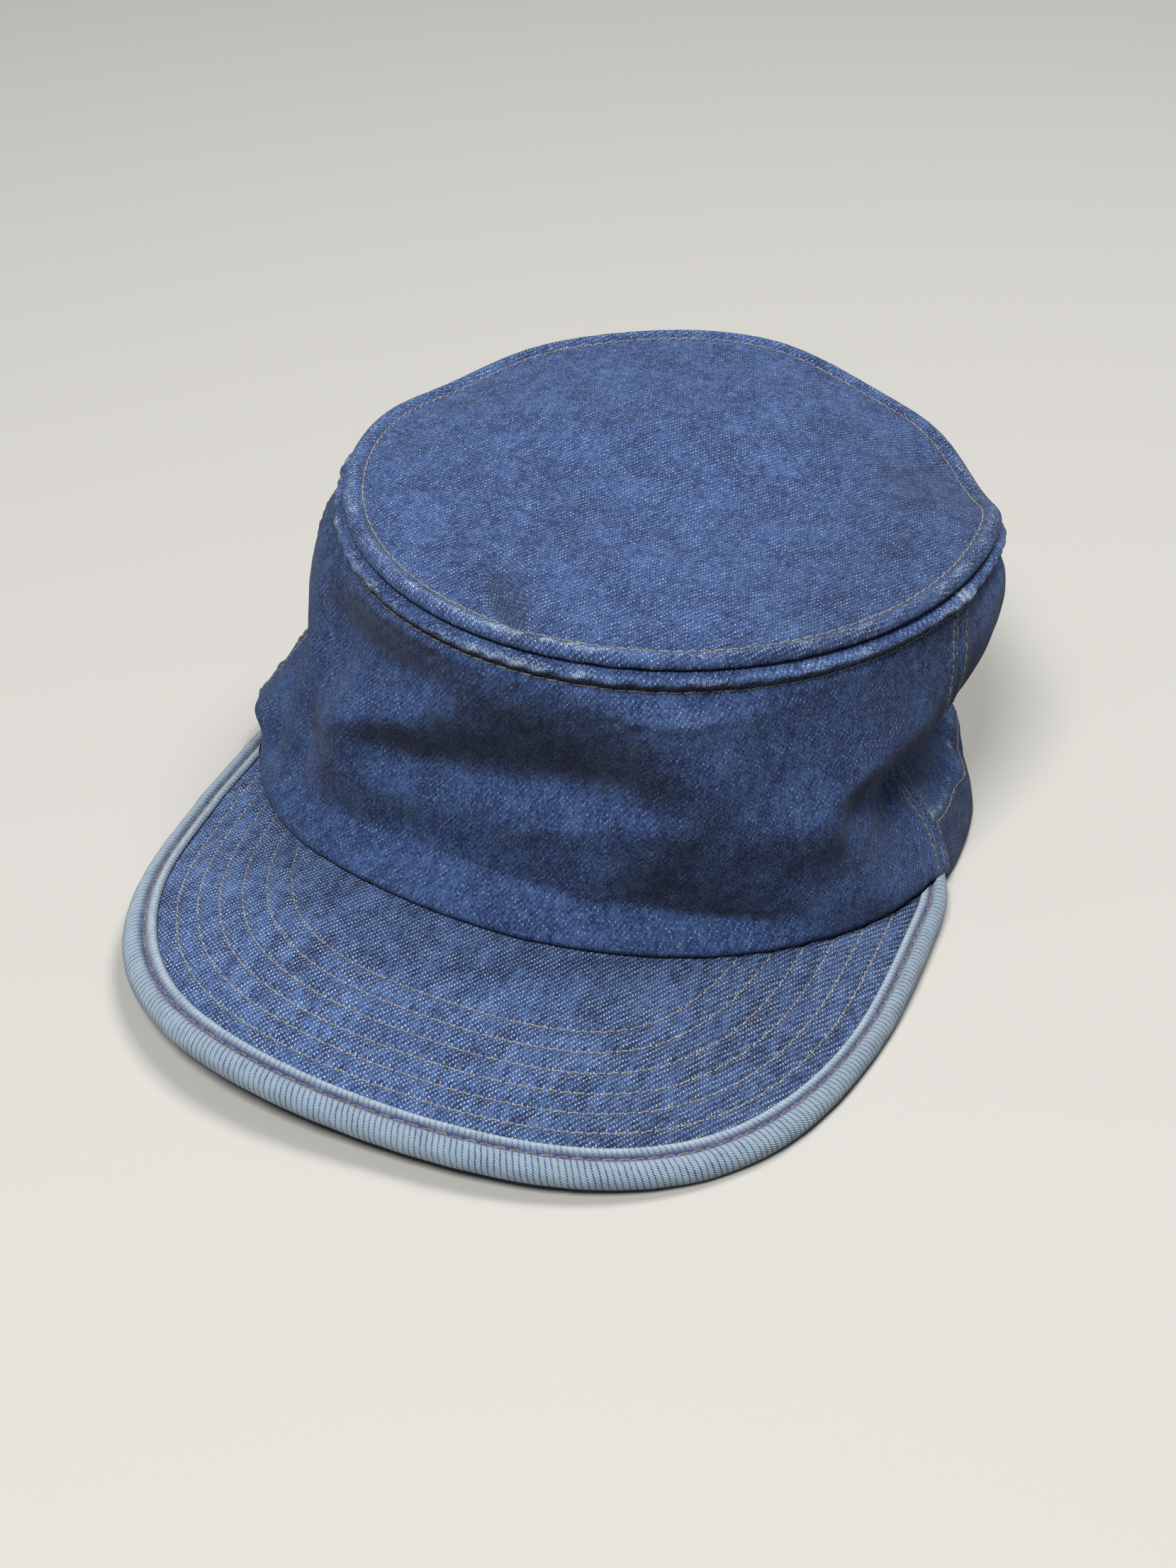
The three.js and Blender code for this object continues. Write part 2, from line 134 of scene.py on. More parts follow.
def oval(angle: Array, power: Array) -> tuple[Array, Array]:
    """An oval of unit half-axes at an angle from the front.

    Args:
        angle: degrees from the front.
        power: 2 is round, and a higher power is squarer.

    Returns:
        The x and y of the place on the oval.
    """
    x = np.sin(np.radians(angle))
    y = -np.cos(np.radians(angle))
    size = (np.abs(x) ** power + np.abs(y) ** power) ** (-1 / power)
    return x * size, y * size


def through(points: Array, spacing: float) -> Array:
    """A smooth line through points.

    Args:
        points: the points, one a row.
        spacing: the widest step between places on the line.

    Returns:
        The line's places, one a row.
    """
    padded = np.vstack([2 * points[0] - points[1], points, 2 * points[-1] - points[-2]])
    places = [points[:1]]
    for a, b, c, d in zip(padded, padded[1:], padded[2:], padded[3:]):
        steps = max(int(np.ceil(np.linalg.norm(c - b) / spacing)), 1)
        t = (np.arange(1, steps + 1) / steps)[:, None]
        line = 2 * b + (c - a) * t + (2 * a - 5 * b + 4 * c - d) * t**2 + (3 * b - a - 3 * c + d) * t**3
        places.append(line / 2)
    return np.vstack(places)


@dataclass
class SmoothNoise:
    """Soft random swells of about one size, the same each run.

    Attributes:
        seed: which swells.
        cell: the size of one swell.
    """

    seed: int
    cell: float
    table: Array = field(init=False)
    cells: int = 64

    def __post_init__(self) -> None:
        """Draws the heights."""
        self.table = np.random.default_rng(self.seed).uniform(-1, 1, (self.cells, self.cells))

    def at(self, x: Array, y: Array) -> Array:
        """The swell at each place, from -1 to 1."""
        gx = np.asarray(x, float) / self.cell
        gy = np.asarray(y, float) / self.cell
        i = np.floor(gx).astype(int)
        j = np.floor(gy).astype(int)
        sx = smooth(gx - i, 0, 1)
        sy = smooth(gy - j, 0, 1)
        corner = [self.table[(i + a) % self.cells, (j + b) % self.cells] for a in (0, 1) for b in (0, 1)]
        return mix(mix(corner[0], corner[1], sy), mix(corner[2], corner[3], sy), sx)


@dataclass(frozen=True)
class Fold:
    """A crease line of the wall: a positive depth stands out and a negative one is a hollow.

    Attributes:
        name: where it is, by the wearer's side.
        angle1: angle of its first end.
        rise1: rise of its first end.
        angle2: angle of its other end.
        rise2: rise of its other end.
        width: its half-width.
        depth: how far it moves the cloth.
    """

    name: str
    angle1: float
    rise1: float
    angle2: float
    rise2: float
    width: float
    depth: float


@dataclass(frozen=True)
class Sag:
    """A place where the seam of the round top has dropped, by its middle and half-width in degrees."""

    angle: float
    width: float
    drop: float


@dataclass(frozen=True)
class Dent:
    """A dent of the round top, turned by some degrees, or a swell where its depth is negative."""

    x: float
    y: float
    half_width: float
    half_length: float
    turn: float
    depth: float

    def near(self, x: Array, y: Array) -> Array:
        """How near each place is to its middle, from 0 far away to 1."""
        turn = np.radians(self.turn)
        dx = x - self.x
        dy = y - self.y
        across = (dx * np.cos(turn) + dy * np.sin(turn)) / self.half_width
        along = (dy * np.cos(turn) - dx * np.sin(turn)) / self.half_length
        return np.exp(-(across**2 + along**2))

    def height(self, x: Array, y: Array) -> Array:
        """The height that it gives to each place."""
        return -self.depth * self.near(x, y)


@dataclass(frozen=True)
class Strip:
    """A soft-edged strip that runs beside a line.

    Attributes:
        away: distance from the line to its middle.
        width: its half-width.
        strength: its strength in the middle.
    """

    away: float
    width: float
    strength: float = 1.0

    def at(self, distance: Array) -> Array:
        """The strength at a distance from the line."""
        return self.strength * bell(distance - self.away, self.width)


FOLDS = (
    Fold("left overhang", 90, 0.78, 120, 0.76, 13, 2.6),
    Fold("left hollow", 68, 0.36, 104, 0.4, 16, -12),
    Fold("left hollow, rear", 106, 0.37, 148, 0.4, 17, -11),
    Fold("left band edge", 98, 0.18, 118, 0.18, 6, 3),
    Fold("left crease", 56, 0.43, 75, 0.4, 7, -5),
    Fold("left bulge", 41, 0.29, 67, 0.42, 17, 6),
    Fold("low crease", 39, 0.29, 51, 0.27, 10.9, -4.3),
    Fold("low slump", -18, 0.19, 36, 0.03, 17, -6.4),
    Fold("front ridge, left", 21, 0.36, 12, 0.59, 8.6, 1.8),
    Fold("front ridge", -1, 0.34, 26, 0.46, 6.5, 1.9),
    Fold("front hollow", -3, 0.47, 11, 0.51, 17, -10.4),
    Fold("front hollow, right end", -23, 0.43, -16, 0.44, 10, -5.2),
    Fold("front brow", 20, 0.95, 25, 0.67, 17, 6),
    Fold("hem slump", -34, 0.09, 3, -0.03, 14, -4.4),
    Fold("slanting ridge", -42, 0.44, -17, 0.68, 6.5, 2.2),
    Fold("upper crease", -45, 0.73, -20, 0.7, 10.6, -4.5),
    Fold("right crease", -47, 0.19, -43, 0.57, 9.2, -3.5),
    Fold("right overhang", -50, 0.78, -90, 0.76, 14, 2.5),
    Fold("right valley", -63, 0.5, -60, 0.12, 8, -4),
    Fold("right lobe", -72, 0.08, -92, 0.07, 9, 5.4),
    Fold("right pinch", -70, 0.5, -112, 0.46, 11, -6),
    Fold("rear slump", 140, 0.4, 205, 0.5, 14, -5),
)

SAGS = (
    Sag(-109, 15, 3.8),
    Sag(119, 16, 9.2),
    Sag(154, 26, 6),
)

DENTS = (
    Dent(-7, -61, 2.6, 12, 34, 1.3),
    Dent(-16, -58, 6, 10, 34, -1.2),
    Dent(-10, 30, 40, 30, 0, -3),
    Dent(40, 5, 18, 40, 20, 1.2),
    Dent(25, -45, 22, 14, -10, -1),
)

# The crease of the round top, which also places painted shade; DARK_PATCH only places painted shade beside it
CREASE = Dent(-5, -67, 3.2, 19, 33, 3.4)
DARK_PATCH = Dent(-14, -62, 7, 10, 34, 1)


@dataclass(frozen=True)
class Wander:
    """One swing of the gathers' spacing round the top seam.

    Attributes:
        size: how far the gathers move, as an angle of their own wave.
        turns: swings right round.
        phase: where it starts.
    """

    size: float
    turns: int
    phase: float


@dataclass
class Pucker:
    """The gathers that a line of stitches leaves in the cloth beside it.

    Attributes:
        count: gathers right round the top seam.
        slant: how far a gather leans, in degrees of angle for each mm across.
        front: angle of the place where they are strongest.
        wanders: how unevenly they are spaced.
    """

    count: int = 76
    slant: float = 0.75
    front: float = 15.0
    wanders: tuple[Wander, ...] = (Wander(2.6, 3, 1), Wander(1.8, 7, 2), Wander(0.9, 16, 0))

    def at(self, angle: Array, across: Array = 0.0) -> Array:
        """The gather's height at an angle and a distance across it, from -1 to 1."""
        turn = np.radians(np.asarray(angle, float) + self.slant * np.asarray(across, float))
        wander = sum(row.size * np.sin(row.turns * turn + row.phase) for row in self.wanders)
        size = 0.7 + 0.3 * np.sin(5 * turn + 0.5)
        near = 0.55 + 0.45 * np.cos(turn - np.radians(self.front))
        return np.sin(self.count * turn + wander) * size * near


@dataclass
class CapForm:
    """The shape that all the pieces share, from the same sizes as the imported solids."""

    # The rim, seen from above
    rim_x: float = -1.5
    rim_half_width: float = 94.6
    rim_front: float = 90.6
    rim_back: float = 95.0
    rim_front_power: float = 2.12
    rim_back_power: float = 1.88
    rim_back_from: float = 0.4

    # The seam of the round top
    seam_x: float = 8.3
    seam_y: float = 8.2
    seam_half_width: float = 80.3
    seam_front: float = 90.0
    seam_back: float = 91.0
    seam_front_power: float = 2.0
    seam_back_power: float = 1.74
    seam_height: float = 86.0
    seam_slope_x: float = -0.01
    seam_slope_y: float = -0.02
    sag_from: float = 0.5

    # The cloth, its roll under the top seam and the row of stitches below the roll
    cloth: float = 2.2
    gap: float = 0.3
    groove: float = 1.8
    roll_height: float = 4.4
    roll_puff: float = 1.5
    roll_gather: float = 0.2
    roll_drawn_in: float = 1.6
    roll_zone: float = 30.0
    stitch_below_roll: float = 0.6
    stitch_dip: float = 0.5
    stitch_dip_width: float = 1.2

    # The peak's top face
    side_top: float = 4.9
    arch: float = 10.3
    arch_half_width: float = 95.0
    front_drop: float = 0.075
    drop_from: float = -60.0
    corner_lift: float = 5.0
    corner_from: float = -10.0
    corner_to: float = 50.0
    lowest_top: float = 4.7

    # The peak's outline
    peak_x: float = 0.4
    peak_y: float = -45.5
    peak_half_width: float = 88.8
    peak_reach: float = 103.0
    peak_power: float = 2.68
    tuck_from: float = 12.0
    tuck_length: float = 20.0
    tuck: float = 6.0
    side_length: float = 34.0
    under_hem: float = 4.0
    board: float = 3.0
    board_edge: float = 3.1
    board_end: float = 79.0
    side_narrowing: float = 0.22
    narrow_from: float = -125.0
    narrow_to: float = -85.0
    lift_from: float = 75.0
    lift_to: float = 85.0

    # The side seams
    side_seam_top: float = 76.0
    side_seam_bottom: float = 79.0
    side_pull: float = 4.0
    side_pull_at: float = 0.36
    side_pull_width: float = 0.13
    lap: float = 6.5
    lap_thickness: float = 0.7
    seam_groove: float = 0.5
    seam_groove_width: float = 0.7
    row_dip: float = 0.3
    row_dip_width: float = 0.8

    # The band behind them
    band_top: float = 0.22
    band_fold: float = 1.0
    band_fold_from: float = -9.0
    band_fold_full: float = -1.5
    band_fold_end: float = 0.5
    band_row_down: float = 3.2

    # The wall unrolled, and how far the folds reach
    length_per_degree: float = 1.55
    wall_height: float = 80.0
    free_from: float = 0.12
    free_to: float = 0.86
    free_end: float = 0.925

    # Crumples, gathers and the hem
    crumple: float = 0.38
    fine_crumple: float = 0.1
    crumple_rise: float = 0.1
    crumple_below: float = 12.0
    ripple: float = 0.45
    wall_ripple: float = 0.2
    ripple_start: float = 3.0
    ripple_reach: float = 7.0
    edge_round: float = 1.1
    hem_tuck: float = 0.4
    hem_round: float = 1.2
    rubbed_mean: float = 0.6
    rubbed_swing: float = 0.4
    rubbed_patch: tuple[float, float] = (-0.5, 0.8)
    pucker: Pucker = field(default_factory=Pucker)
    swells: SmoothNoise = field(default_factory=lambda: SmoothNoise(7, 11.0))
    fine_swells: SmoothNoise = field(default_factory=lambda: SmoothNoise(19, 3.6))
    patches: SmoothNoise = field(default_factory=lambda: SmoothNoise(23, 5.5))

    def rim_plan(self, angle: Array, inset: float = 0.0) -> tuple[Array, Array]:
        """Oval of the rim's outer face seen from above, or of a line inset behind it."""
        backward = smooth(-np.cos(np.radians(angle)), 0, self.rim_back_from)
        x, y = oval(angle, mix(self.rim_front_power, self.rim_back_power, backward))
        length = np.where(y < 0, self.rim_front, self.rim_back)
        return self.rim_x + (self.rim_half_width - inset) * x, (length - inset) * y

    def seam_point(self, angle: Array, share: Array = 1.0) -> Array:
        """A place on the seam of the round top, or inside it where share is below 1."""
        backward = smooth(-np.cos(np.radians(angle)), 0, 1)
        oval_x, oval_y = oval(angle, mix(self.seam_front_power, self.seam_back_power, backward))
        x = self.seam_x + self.seam_half_width * share * oval_x
        y = self.seam_y + np.where(oval_y < 0, self.seam_front, self.seam_back) * share * oval_y
        sag = sum(row.drop * bell(signed(angle - row.angle), row.width) for row in SAGS)
        z = self.seam_height + self.seam_slope_x * x + self.seam_slope_y * y
        z = z - sag * smooth(share, self.sag_from, 1)
        return np.stack(np.broadcast_arrays(x, y, z), -1)

    def peak_top(self, x: Array, y: Array) -> Array:
        """Height of the peak's top face."""
        side = np.minimum(np.abs(x) / self.arch_half_width, 1)
        forward = np.maximum(self.drop_from - y, 0)
        lift = self.corner_lift * smooth(-x, self.corner_from, self.corner_to)
        lift = lift * smooth(forward, 0, self.peak_reach / 2)
        height = self.side_top + self.arch * (1 - side**2) - self.front_drop * forward + lift
        return np.maximum(height, self.lowest_top)

    def binding_width(self, y: Array) -> Array:
        """How wide the binding is, as a share: it narrows along the sides of the peak."""
        return 1 - self.side_narrowing * smooth(y, self.narrow_from, self.narrow_to)

    def rubbed(self, angle: Array, across: Array) -> Array:
        """How rubbed a roll of the top seam is, in soft uneven patches that are strongest in front."""
        patch = self.patches.at(np.asarray(angle) * self.length_per_degree, across)
        turn = np.radians(np.asarray(angle) - self.pucker.front)
        ahead = self.rubbed_mean + self.rubbed_swing * np.cos(turn)
        return smooth(patch, *self.rubbed_patch) * ahead

    def rim_height(self, angle: Array, inset: float) -> Array:
        """Height of the wall's lower edge, which lies on the peak in front."""
        x, y = self.rim_plan(angle, inset)
        on_peak = 1 - smooth(np.abs(signed(angle)), self.lift_from, self.lift_to)
        return (self.peak_top(x, y) + self.gap) * on_peak

    def fold_depth(self, angle: Array, rise: Array) -> Array:
        """How far the folds push a place on the wall out."""
        free = smooth(rise, 0, self.free_from) * (1 - smooth(rise, self.free_to, self.free_end))
        depth = np.zeros(np.broadcast(angle, rise).shape)
        for row in FOLDS:
            for turn in (-360, 0, 360):
                depth += row.depth * bell(self._from_crease(row, turn, angle, rise), row.width)
        return depth * free

    def _from_crease(self, row: Fold, turn: float, angle: Array, rise: Array) -> Array:
        """Distance of a place on the unrolled wall from a fold's crease line."""
        start = ((row.angle1 + turn) * self.length_per_degree, row.rise1 * self.wall_height)
        end = ((row.angle2 + turn) * self.length_per_degree, row.rise2 * self.wall_height)
        along = (end[0] - start[0], end[1] - start[1])
        here = (angle * self.length_per_degree - start[0], rise * self.wall_height - start[1])
        share = (here[0] * along[0] + here[1] * along[1]) / (along[0] ** 2 + along[1] ** 2)
        share = np.clip(share, 0, 1)
        return np.hypot(here[0] - share * along[0], here[1] - share * along[1])

    def side_seam_angle(self, rise: Array) -> Array:
        """Angle of the side seam on the wearer's left, at a rise: the fold pulls it forward."""
        pulled = self.side_pull * bell(rise - self.side_pull_at, self.side_pull_width)
        return mix(self.side_seam_bottom, self.side_seam_top, rise) - pulled

    def from_side_seam(self, angle: Array, rise: Array) -> Array:
        """Distance round the wall from the nearer side seam, positive behind it."""
        return (np.abs(signed(angle)) - self.side_seam_angle(rise)) * self.length_per_degree

    def below_seam(self, angle: Array, height: Array) -> Array:
        """How far a height on the wall lies below the top seam."""
        return self.seam_point(angle)[..., 2] - height

    def _roll(self, angle: Array, below: Array) -> Array:
        """How far the roll under the top seam stands out, by the distance down from the seam."""
        gather = self.pucker.at(angle, below)
        round_part = np.maximum(np.sin(np.pi * below / self.roll_height), 0) * self.roll_puff
        round_part = np.where(below < self.roll_height, round_part * (1 + self.roll_gather * gather), 0)
        drawn_in = -self.groove * (1 - smooth(below, 0, self.roll_drawn_in))
        beyond = below - self.roll_height
        stitched = -self.stitch_dip * bell(beyond - self.stitch_below_roll, self.stitch_dip_width)
        beyond = np.maximum(beyond, 0)
        fading = np.exp(-beyond / self.ripple_reach) * smooth(beyond, 0, self.ripple_start)
        ripple = self.wall_ripple * gather * fading
        return np.where(below < self.roll_zone, round_part + drawn_in + stitched + ripple, 0)

    def _side_seam(self, angle: Array, rise: Array) -> Array:
        """How far the double side seam stands out, with a groove along its middle and its stitches."""
        away = np.abs(self.from_side_seam(angle, rise))
        lap = self.lap_thickness * (1 - smooth(away, self.lap / 2, self.lap))
        middle = -self.seam_groove * bell(away, self.seam_groove_width)
        stitched = -self.row_dip * bell(away - self.lap / 2, self.row_dip_width)
        return lap + middle + stitched

    def _band_edge(self, angle: Array, rise: Array) -> Array:
        """How far the band's folded upper edge stands out behind the side seams."""
        up = (rise - self.band_top) * self.wall_height
        behind = smooth(self.from_side_seam(angle, rise), 0, 2)
        fold = self.band_fold * smooth(up, self.band_fold_from, self.band_fold_full)
        fold = fold * (1 - smooth(up, -self.band_fold_end, self.band_fold_end))
        stitched = -self.row_dip * bell(up + self.band_row_down, self.row_dip_width)
        return (fold + stitched) * behind

    def wall(self, angle: Array, rise: Array, inset: Array = 0.0) -> Array:
        """A place on the wall's outer face, or inset behind it.

        Args:
            angle: degrees from the front.
            rise: 0 at the rim and 1 at the top seam.
            inset: how far behind the outer face.

        Returns:
            The places, in mm in the cap's frame.
        """
        angle, rise, inset = np.broadcast_arrays(angle, rise, inset)
        rim_x, rim_y = self.rim_plan(angle)
        seam = self.seam_point(angle)
        low = self.rim_height(angle, inset) + self.edge_round
        height = mix(low, seam[..., 2], rise)
        below = seam[..., 2] - height
        across = angle * self.length_per_degree
        crumple = self.crumple * self.swells.at(across, height) * smooth(rise, 0, self.crumple_rise)
        crumple = crumple + self.fine_crumple * self.fine_swells.at(across, height)
        tucked = self.hem_tuck * (1 - smooth(height - low, 0, self.hem_round))
        out = self.fold_depth(angle, rise) + self._roll(angle, below) + self._side_seam(angle, rise)
        crumple = crumple * smooth(below, 0, self.crumple_below)
        out = out + self._band_edge(angle, rise) + crumple - inset - tucked
        x = mix(rim_x, seam[..., 0], rise) + out * np.sin(np.radians(angle))
        y = mix(rim_y, seam[..., 1], rise) - out * np.cos(np.radians(angle))
        return np.stack([x, y, height], -1)


@dataclass
class Outline:
    """The inner edge of the peak's binding, seen from above, from the wearer's right end to the left.

    Attributes:
        form: the cap's shape.
        step: from one point of the line to the next.
        reach: how far ahead and behind a place its direction is read.
        points: the x and y of the line's points.
        lengths: how far along each point lies.
    """

    form: CapForm
    step: float = 0.5
    reach: float = 1.5
    points: Array = field(init=False)
    lengths: Array = field(init=False)

    def __post_init__(self) -> None:
        """Works the line out: a rounded front, straight sides and ends tucked in under the wall."""
        form = self.form
        turn = np.linspace(0, np.pi / 2, 400)
        x = form.peak_half_width * np.sin(turn) ** (2 / form.peak_power)
        y = form.peak_y - form.peak_reach * np.abs(np.cos(turn)) ** (2 / form.peak_power)
        back = np.linspace(0, form.side_length, 60)[1:]
        tucked = form.tuck * np.maximum((back - form.tuck_from) / form.tuck_length, 0) ** 2
        half = np.stack([np.append(x, form.peak_half_width - tucked), np.append(y, form.peak_y + back)], -1)
        whole = np.vstack([half[:0:-1] * (-1, 1), half]) + (form.peak_x, 0)
        lengths = np.append(0, np.cumsum(np.linalg.norm(np.diff(whole, axis=0), axis=1)))
        even = np.linspace(0, lengths[-1], int(lengths[-1] / self.step) + 1)
        self.points = np.stack([np.interp(even, lengths, whole[:, axis]) for axis in (0, 1)], -1)
        self.lengths = even

    @property
    def length(self) -> float:
        """The length of the whole line."""
        return float(self.lengths[-1])

    def at(self, distance: Array, out: Array = 0.0) -> Array:
        """A place at a distance along the line, moved outwards.

        Args:
            distance: how far along, from the wearer's right end.
            out: how far to move it away from the peak.

        Returns:
            The x and y of each place.
        """
        y = np.interp(distance, self.lengths, self.points[:, 1])
        return self.straight(distance, np.asarray(out, float) * self.form.binding_width(y))

    def straight(self, distance: Array, out: Array) -> Array:
        """A place at a distance along the line, moved outwards by the full length."""
        distance = np.asarray(distance, float)
        tangent = unit(self._on_line(distance + self.reach) - self._on_line(distance - self.reach))
        normal = np.stack([tangent[..., 1], -tangent[..., 0]], -1)
        return self._on_line(distance) + normal * np.asarray(out, float)[..., None]

    def _on_line(self, distance: Array) -> Array:
        """The x and y of places on the line itself."""
        return np.stack([np.interp(distance, self.lengths, self.points[:, k]) for k in (0, 1)], -1)

    def inside(self, x: Array, y: Array) -> Array:
        """How far each place lies in from the line."""
        places = np.stack([np.ravel(x), np.ravel(y)], -1)
        nearest = np.full(len(places), np.inf)
        for chunk in np.array_split(self.points[::2], 12):
            away = np.linalg.norm(places[:, None] - chunk[None], axis=2).min(1)
            nearest = np.minimum(nearest, away)
        return nearest.reshape(np.shape(x))


@dataclass
class Skin:
    """The vertices and faces of one piece, before they become a mesh.

    Attributes:
        points: places in mm in the cap's frame.
        faces: arrays of vertex numbers, each with faces of one number of corners.
        sides: the side of the cloth that each array of faces is on.
        cloth: the place of each vertex on the flat cloth, in mm.
        wear: how worn each vertex is, from 0 to 1; on the stitches, how light the plies are, with painted
            shade between them.
        painted_shade_and_marks: a second mask that the finish reads, from 0 to 1: painted shade, groove blue,
            pale stitch ends.
    """

    points: Array
    faces: list[Array]
    sides: list[Side]
    cloth: Array
    wear: Array
    painted_shade_and_marks: Array | None = None


@dataclass(frozen=True)
class Workshop:
    """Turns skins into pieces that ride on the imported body.

    Attributes:
        shift: where the cap frame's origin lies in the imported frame, in mm.
    """

    shift: Array

    @classmethod
    def from_frame(cls, form: CapForm, binding_reach: float) -> Workshop:
        """Finds the cap frame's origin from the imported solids.

        Args:
            form: the cap's shape.
            binding_reach: how far the binding stands out from its inner edge.

        Returns:
            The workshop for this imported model.
        """
        low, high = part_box("peak_binding")
        middle = (low.x + high.x) / 2 / MM
        front = low.y / MM
        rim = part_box("back_band")[0].z / MM
        tip = form.peak_y - form.peak_reach - binding_reach
        return cls(np.array([middle - form.peak_x, front - tip, rim]))

    def place(self, points: Array) -> Array:
        """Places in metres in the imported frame."""
        return (points + self.shift) * MM

    def piece(self, name: str, skin: Skin, materials: Sequence[bpy.types.Material]) -> bpy.types.Object:
        """Makes a mesh object that rides on the cap.

        Args:
            name: the piece's name.
            skin: its vertices and faces.
            materials: its outside finish, and its inside one if it has one.

        Returns:
            The new object.
        """
        mesh = bpy.data.meshes.new(name)
        counts = np.concatenate([np.full(len(faces), faces.shape[1]) for faces in skin.faces])
        corners = np.concatenate([faces.ravel() for faces in skin.faces]).astype(np.int32)
        starts = np.append(0, np.cumsum(counts)[:-1]).astype(np.int32)
        mesh.vertices.add(len(skin.points))
        mesh.vertices.foreach_set("co", self.place(skin.points).astype(np.float32).ravel())
        mesh.loops.add(len(corners))
        mesh.loops.foreach_set("vertex_index", corners)
        mesh.polygons.add(len(counts))
        mesh.polygons.foreach_set("loop_start", starts)
        mesh.update(calc_edges=True)
        sides = np.concatenate([np.full(len(faces), s.value) for faces, s in zip(skin.faces, skin.sides)])
        mesh.polygons.foreach_set("material_index", sides.astype(np.int32))
        mesh.polygons.foreach_set("use_smooth", np.ones(len(counts), bool))
        layer = mesh.uv_layers.new(name=CLOTH_MAP, do_init=False)
        layer.uv.foreach_set("vector", skin.cloth[corners].astype(np.float32).ravel())
        for label, values in ((WEAR_AND_PLY_SHADE, skin.wear), (PAINTED_SHADE_AND_MARKS, skin.painted_shade_and_marks)):
            if values is not None:
                attribute = mesh.attributes.new(label, "FLOAT", "POINT")
                attribute.data.foreach_set("value", np.asarray(values, np.float32))
        for material in materials:
            mesh.materials.append(material)
        mesh.validate()
        piece = bpy.data.objects.new(name, mesh)
        bpy.context.scene.collection.objects.link(piece)
        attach(piece, BODY)
        LOG.info("%s: %d faces", name, len(mesh.polygons))
        return piece


def grid_faces(columns: int, rows: int, first: int = 0, flipped: bool = False) -> Array:
    """The faces of a grid of vertices numbered up each column.

    Args:
        columns: vertices across.
        rows: vertices up each column.
        first: number of the first vertex.
        flipped: whether the faces look the other way.

    Returns:
        One row of four vertex numbers for each face.
    """
    here = (np.arange(columns - 1)[:, None] * rows + np.arange(rows - 1)).ravel() + first
    faces = np.stack([here, here + rows, here + rows + 1, here + 1], 1)
    return faces[:, ::-1] if flipped else faces


def ring_faces(rings: int, count: int) -> Array:
    """The faces between closed rings of vertices: for each gap, a row of four vertex numbers a face."""
    step = np.arange(count)
    following = (step + 1) % count
    near = count * np.arange(rings - 1)[:, None]
    far = near + count
    return np.stack([near + step, near + following, far + following, far + step], -1)


def grid_edge(columns: int, rows: int) -> tuple[Array, Array]:
    """The vertices round a grid's edge, and for each one its neighbour inside the grid."""
    grid = np.arange(columns * rows).reshape(columns, rows)
    inner = np.pad(grid[1:-1, 1:-1], 1, mode="edge")
    edge, within = (np.concatenate([g[:-1, 0], g[-1, :-1], g[:0:-1, -1], g[0, :0:-1]]) for g in (grid, inner))
    return edge, within


def sheet_skin(outer: Array, inner: Array, cloth: Array, wear: Array, round_steps: int = 4) -> Skin:
    """Closes a sheet of cloth between its two faces, with a rounded edge.

    Args:
        outer: columns by rows of places on the outer face.
        inner: the same on the inner face.
        cloth: the place of each vertex on the flat cloth.
        wear: how worn each vertex of the outer face is.
        round_steps: faces across the rounded edge.

    Returns:
        The sheet's skin.
    """
    columns, rows = outer.shape[:2]
    count = columns * rows
    front = outer.reshape(count, 3)
    back = inner.reshape(count, 3)
    edge, within = grid_edge(columns, rows)
    middle = (front[edge] + back[edge]) / 2
    half = (front[edge] - back[edge]) / 2
    thickness = np.linalg.norm(half, axis=1, keepdims=True)
    away = unit(middle - (front[within] + back[within]) / 2) * thickness
    points = [front, back]
    flat = cloth.reshape(count, 2)
    worn = wear.reshape(count)
    maps = [flat, flat]
    masks = [worn, worn * 0]
    loops = [edge]
    for step in range(1, round_steps):
        turn = np.pi * step / round_steps
        loops.append(np.arange(len(edge)) + 2 * count + (step - 1) * len(edge))
        points.append(middle + half * np.cos(turn) + away * np.sin(turn))
        maps.append(flat[edge])
        masks.append(worn[edge])
    loops.append(edge + count)
    strips = []
    for near, far in zip(loops, loops[1:]):
        strips.append(np.stack([np.roll(near, -1), near, far, np.roll(far, -1)], 1))
    faces = [grid_faces(columns, rows), np.vstack(strips), grid_faces(columns, rows, count, True)]
    sides = [Side.OUTSIDE, Side.OUTSIDE, Side.INSIDE]
    return Skin(np.vstack(points), faces, sides, np.vstack(maps), np.concatenate(masks))


def srgb(red: float, green: float, blue: float) -> Colour:
    """A colour given as the screen shows it, from 0 to 255, as the shader's linear one."""
    share = np.array([red, green, blue]) / 255
    linear = np.where(share <= 0.04045, share / 12.92, ((share + 0.055) / 1.055) ** 2.4)
    return (*(float(x) for x in linear), 1.0)


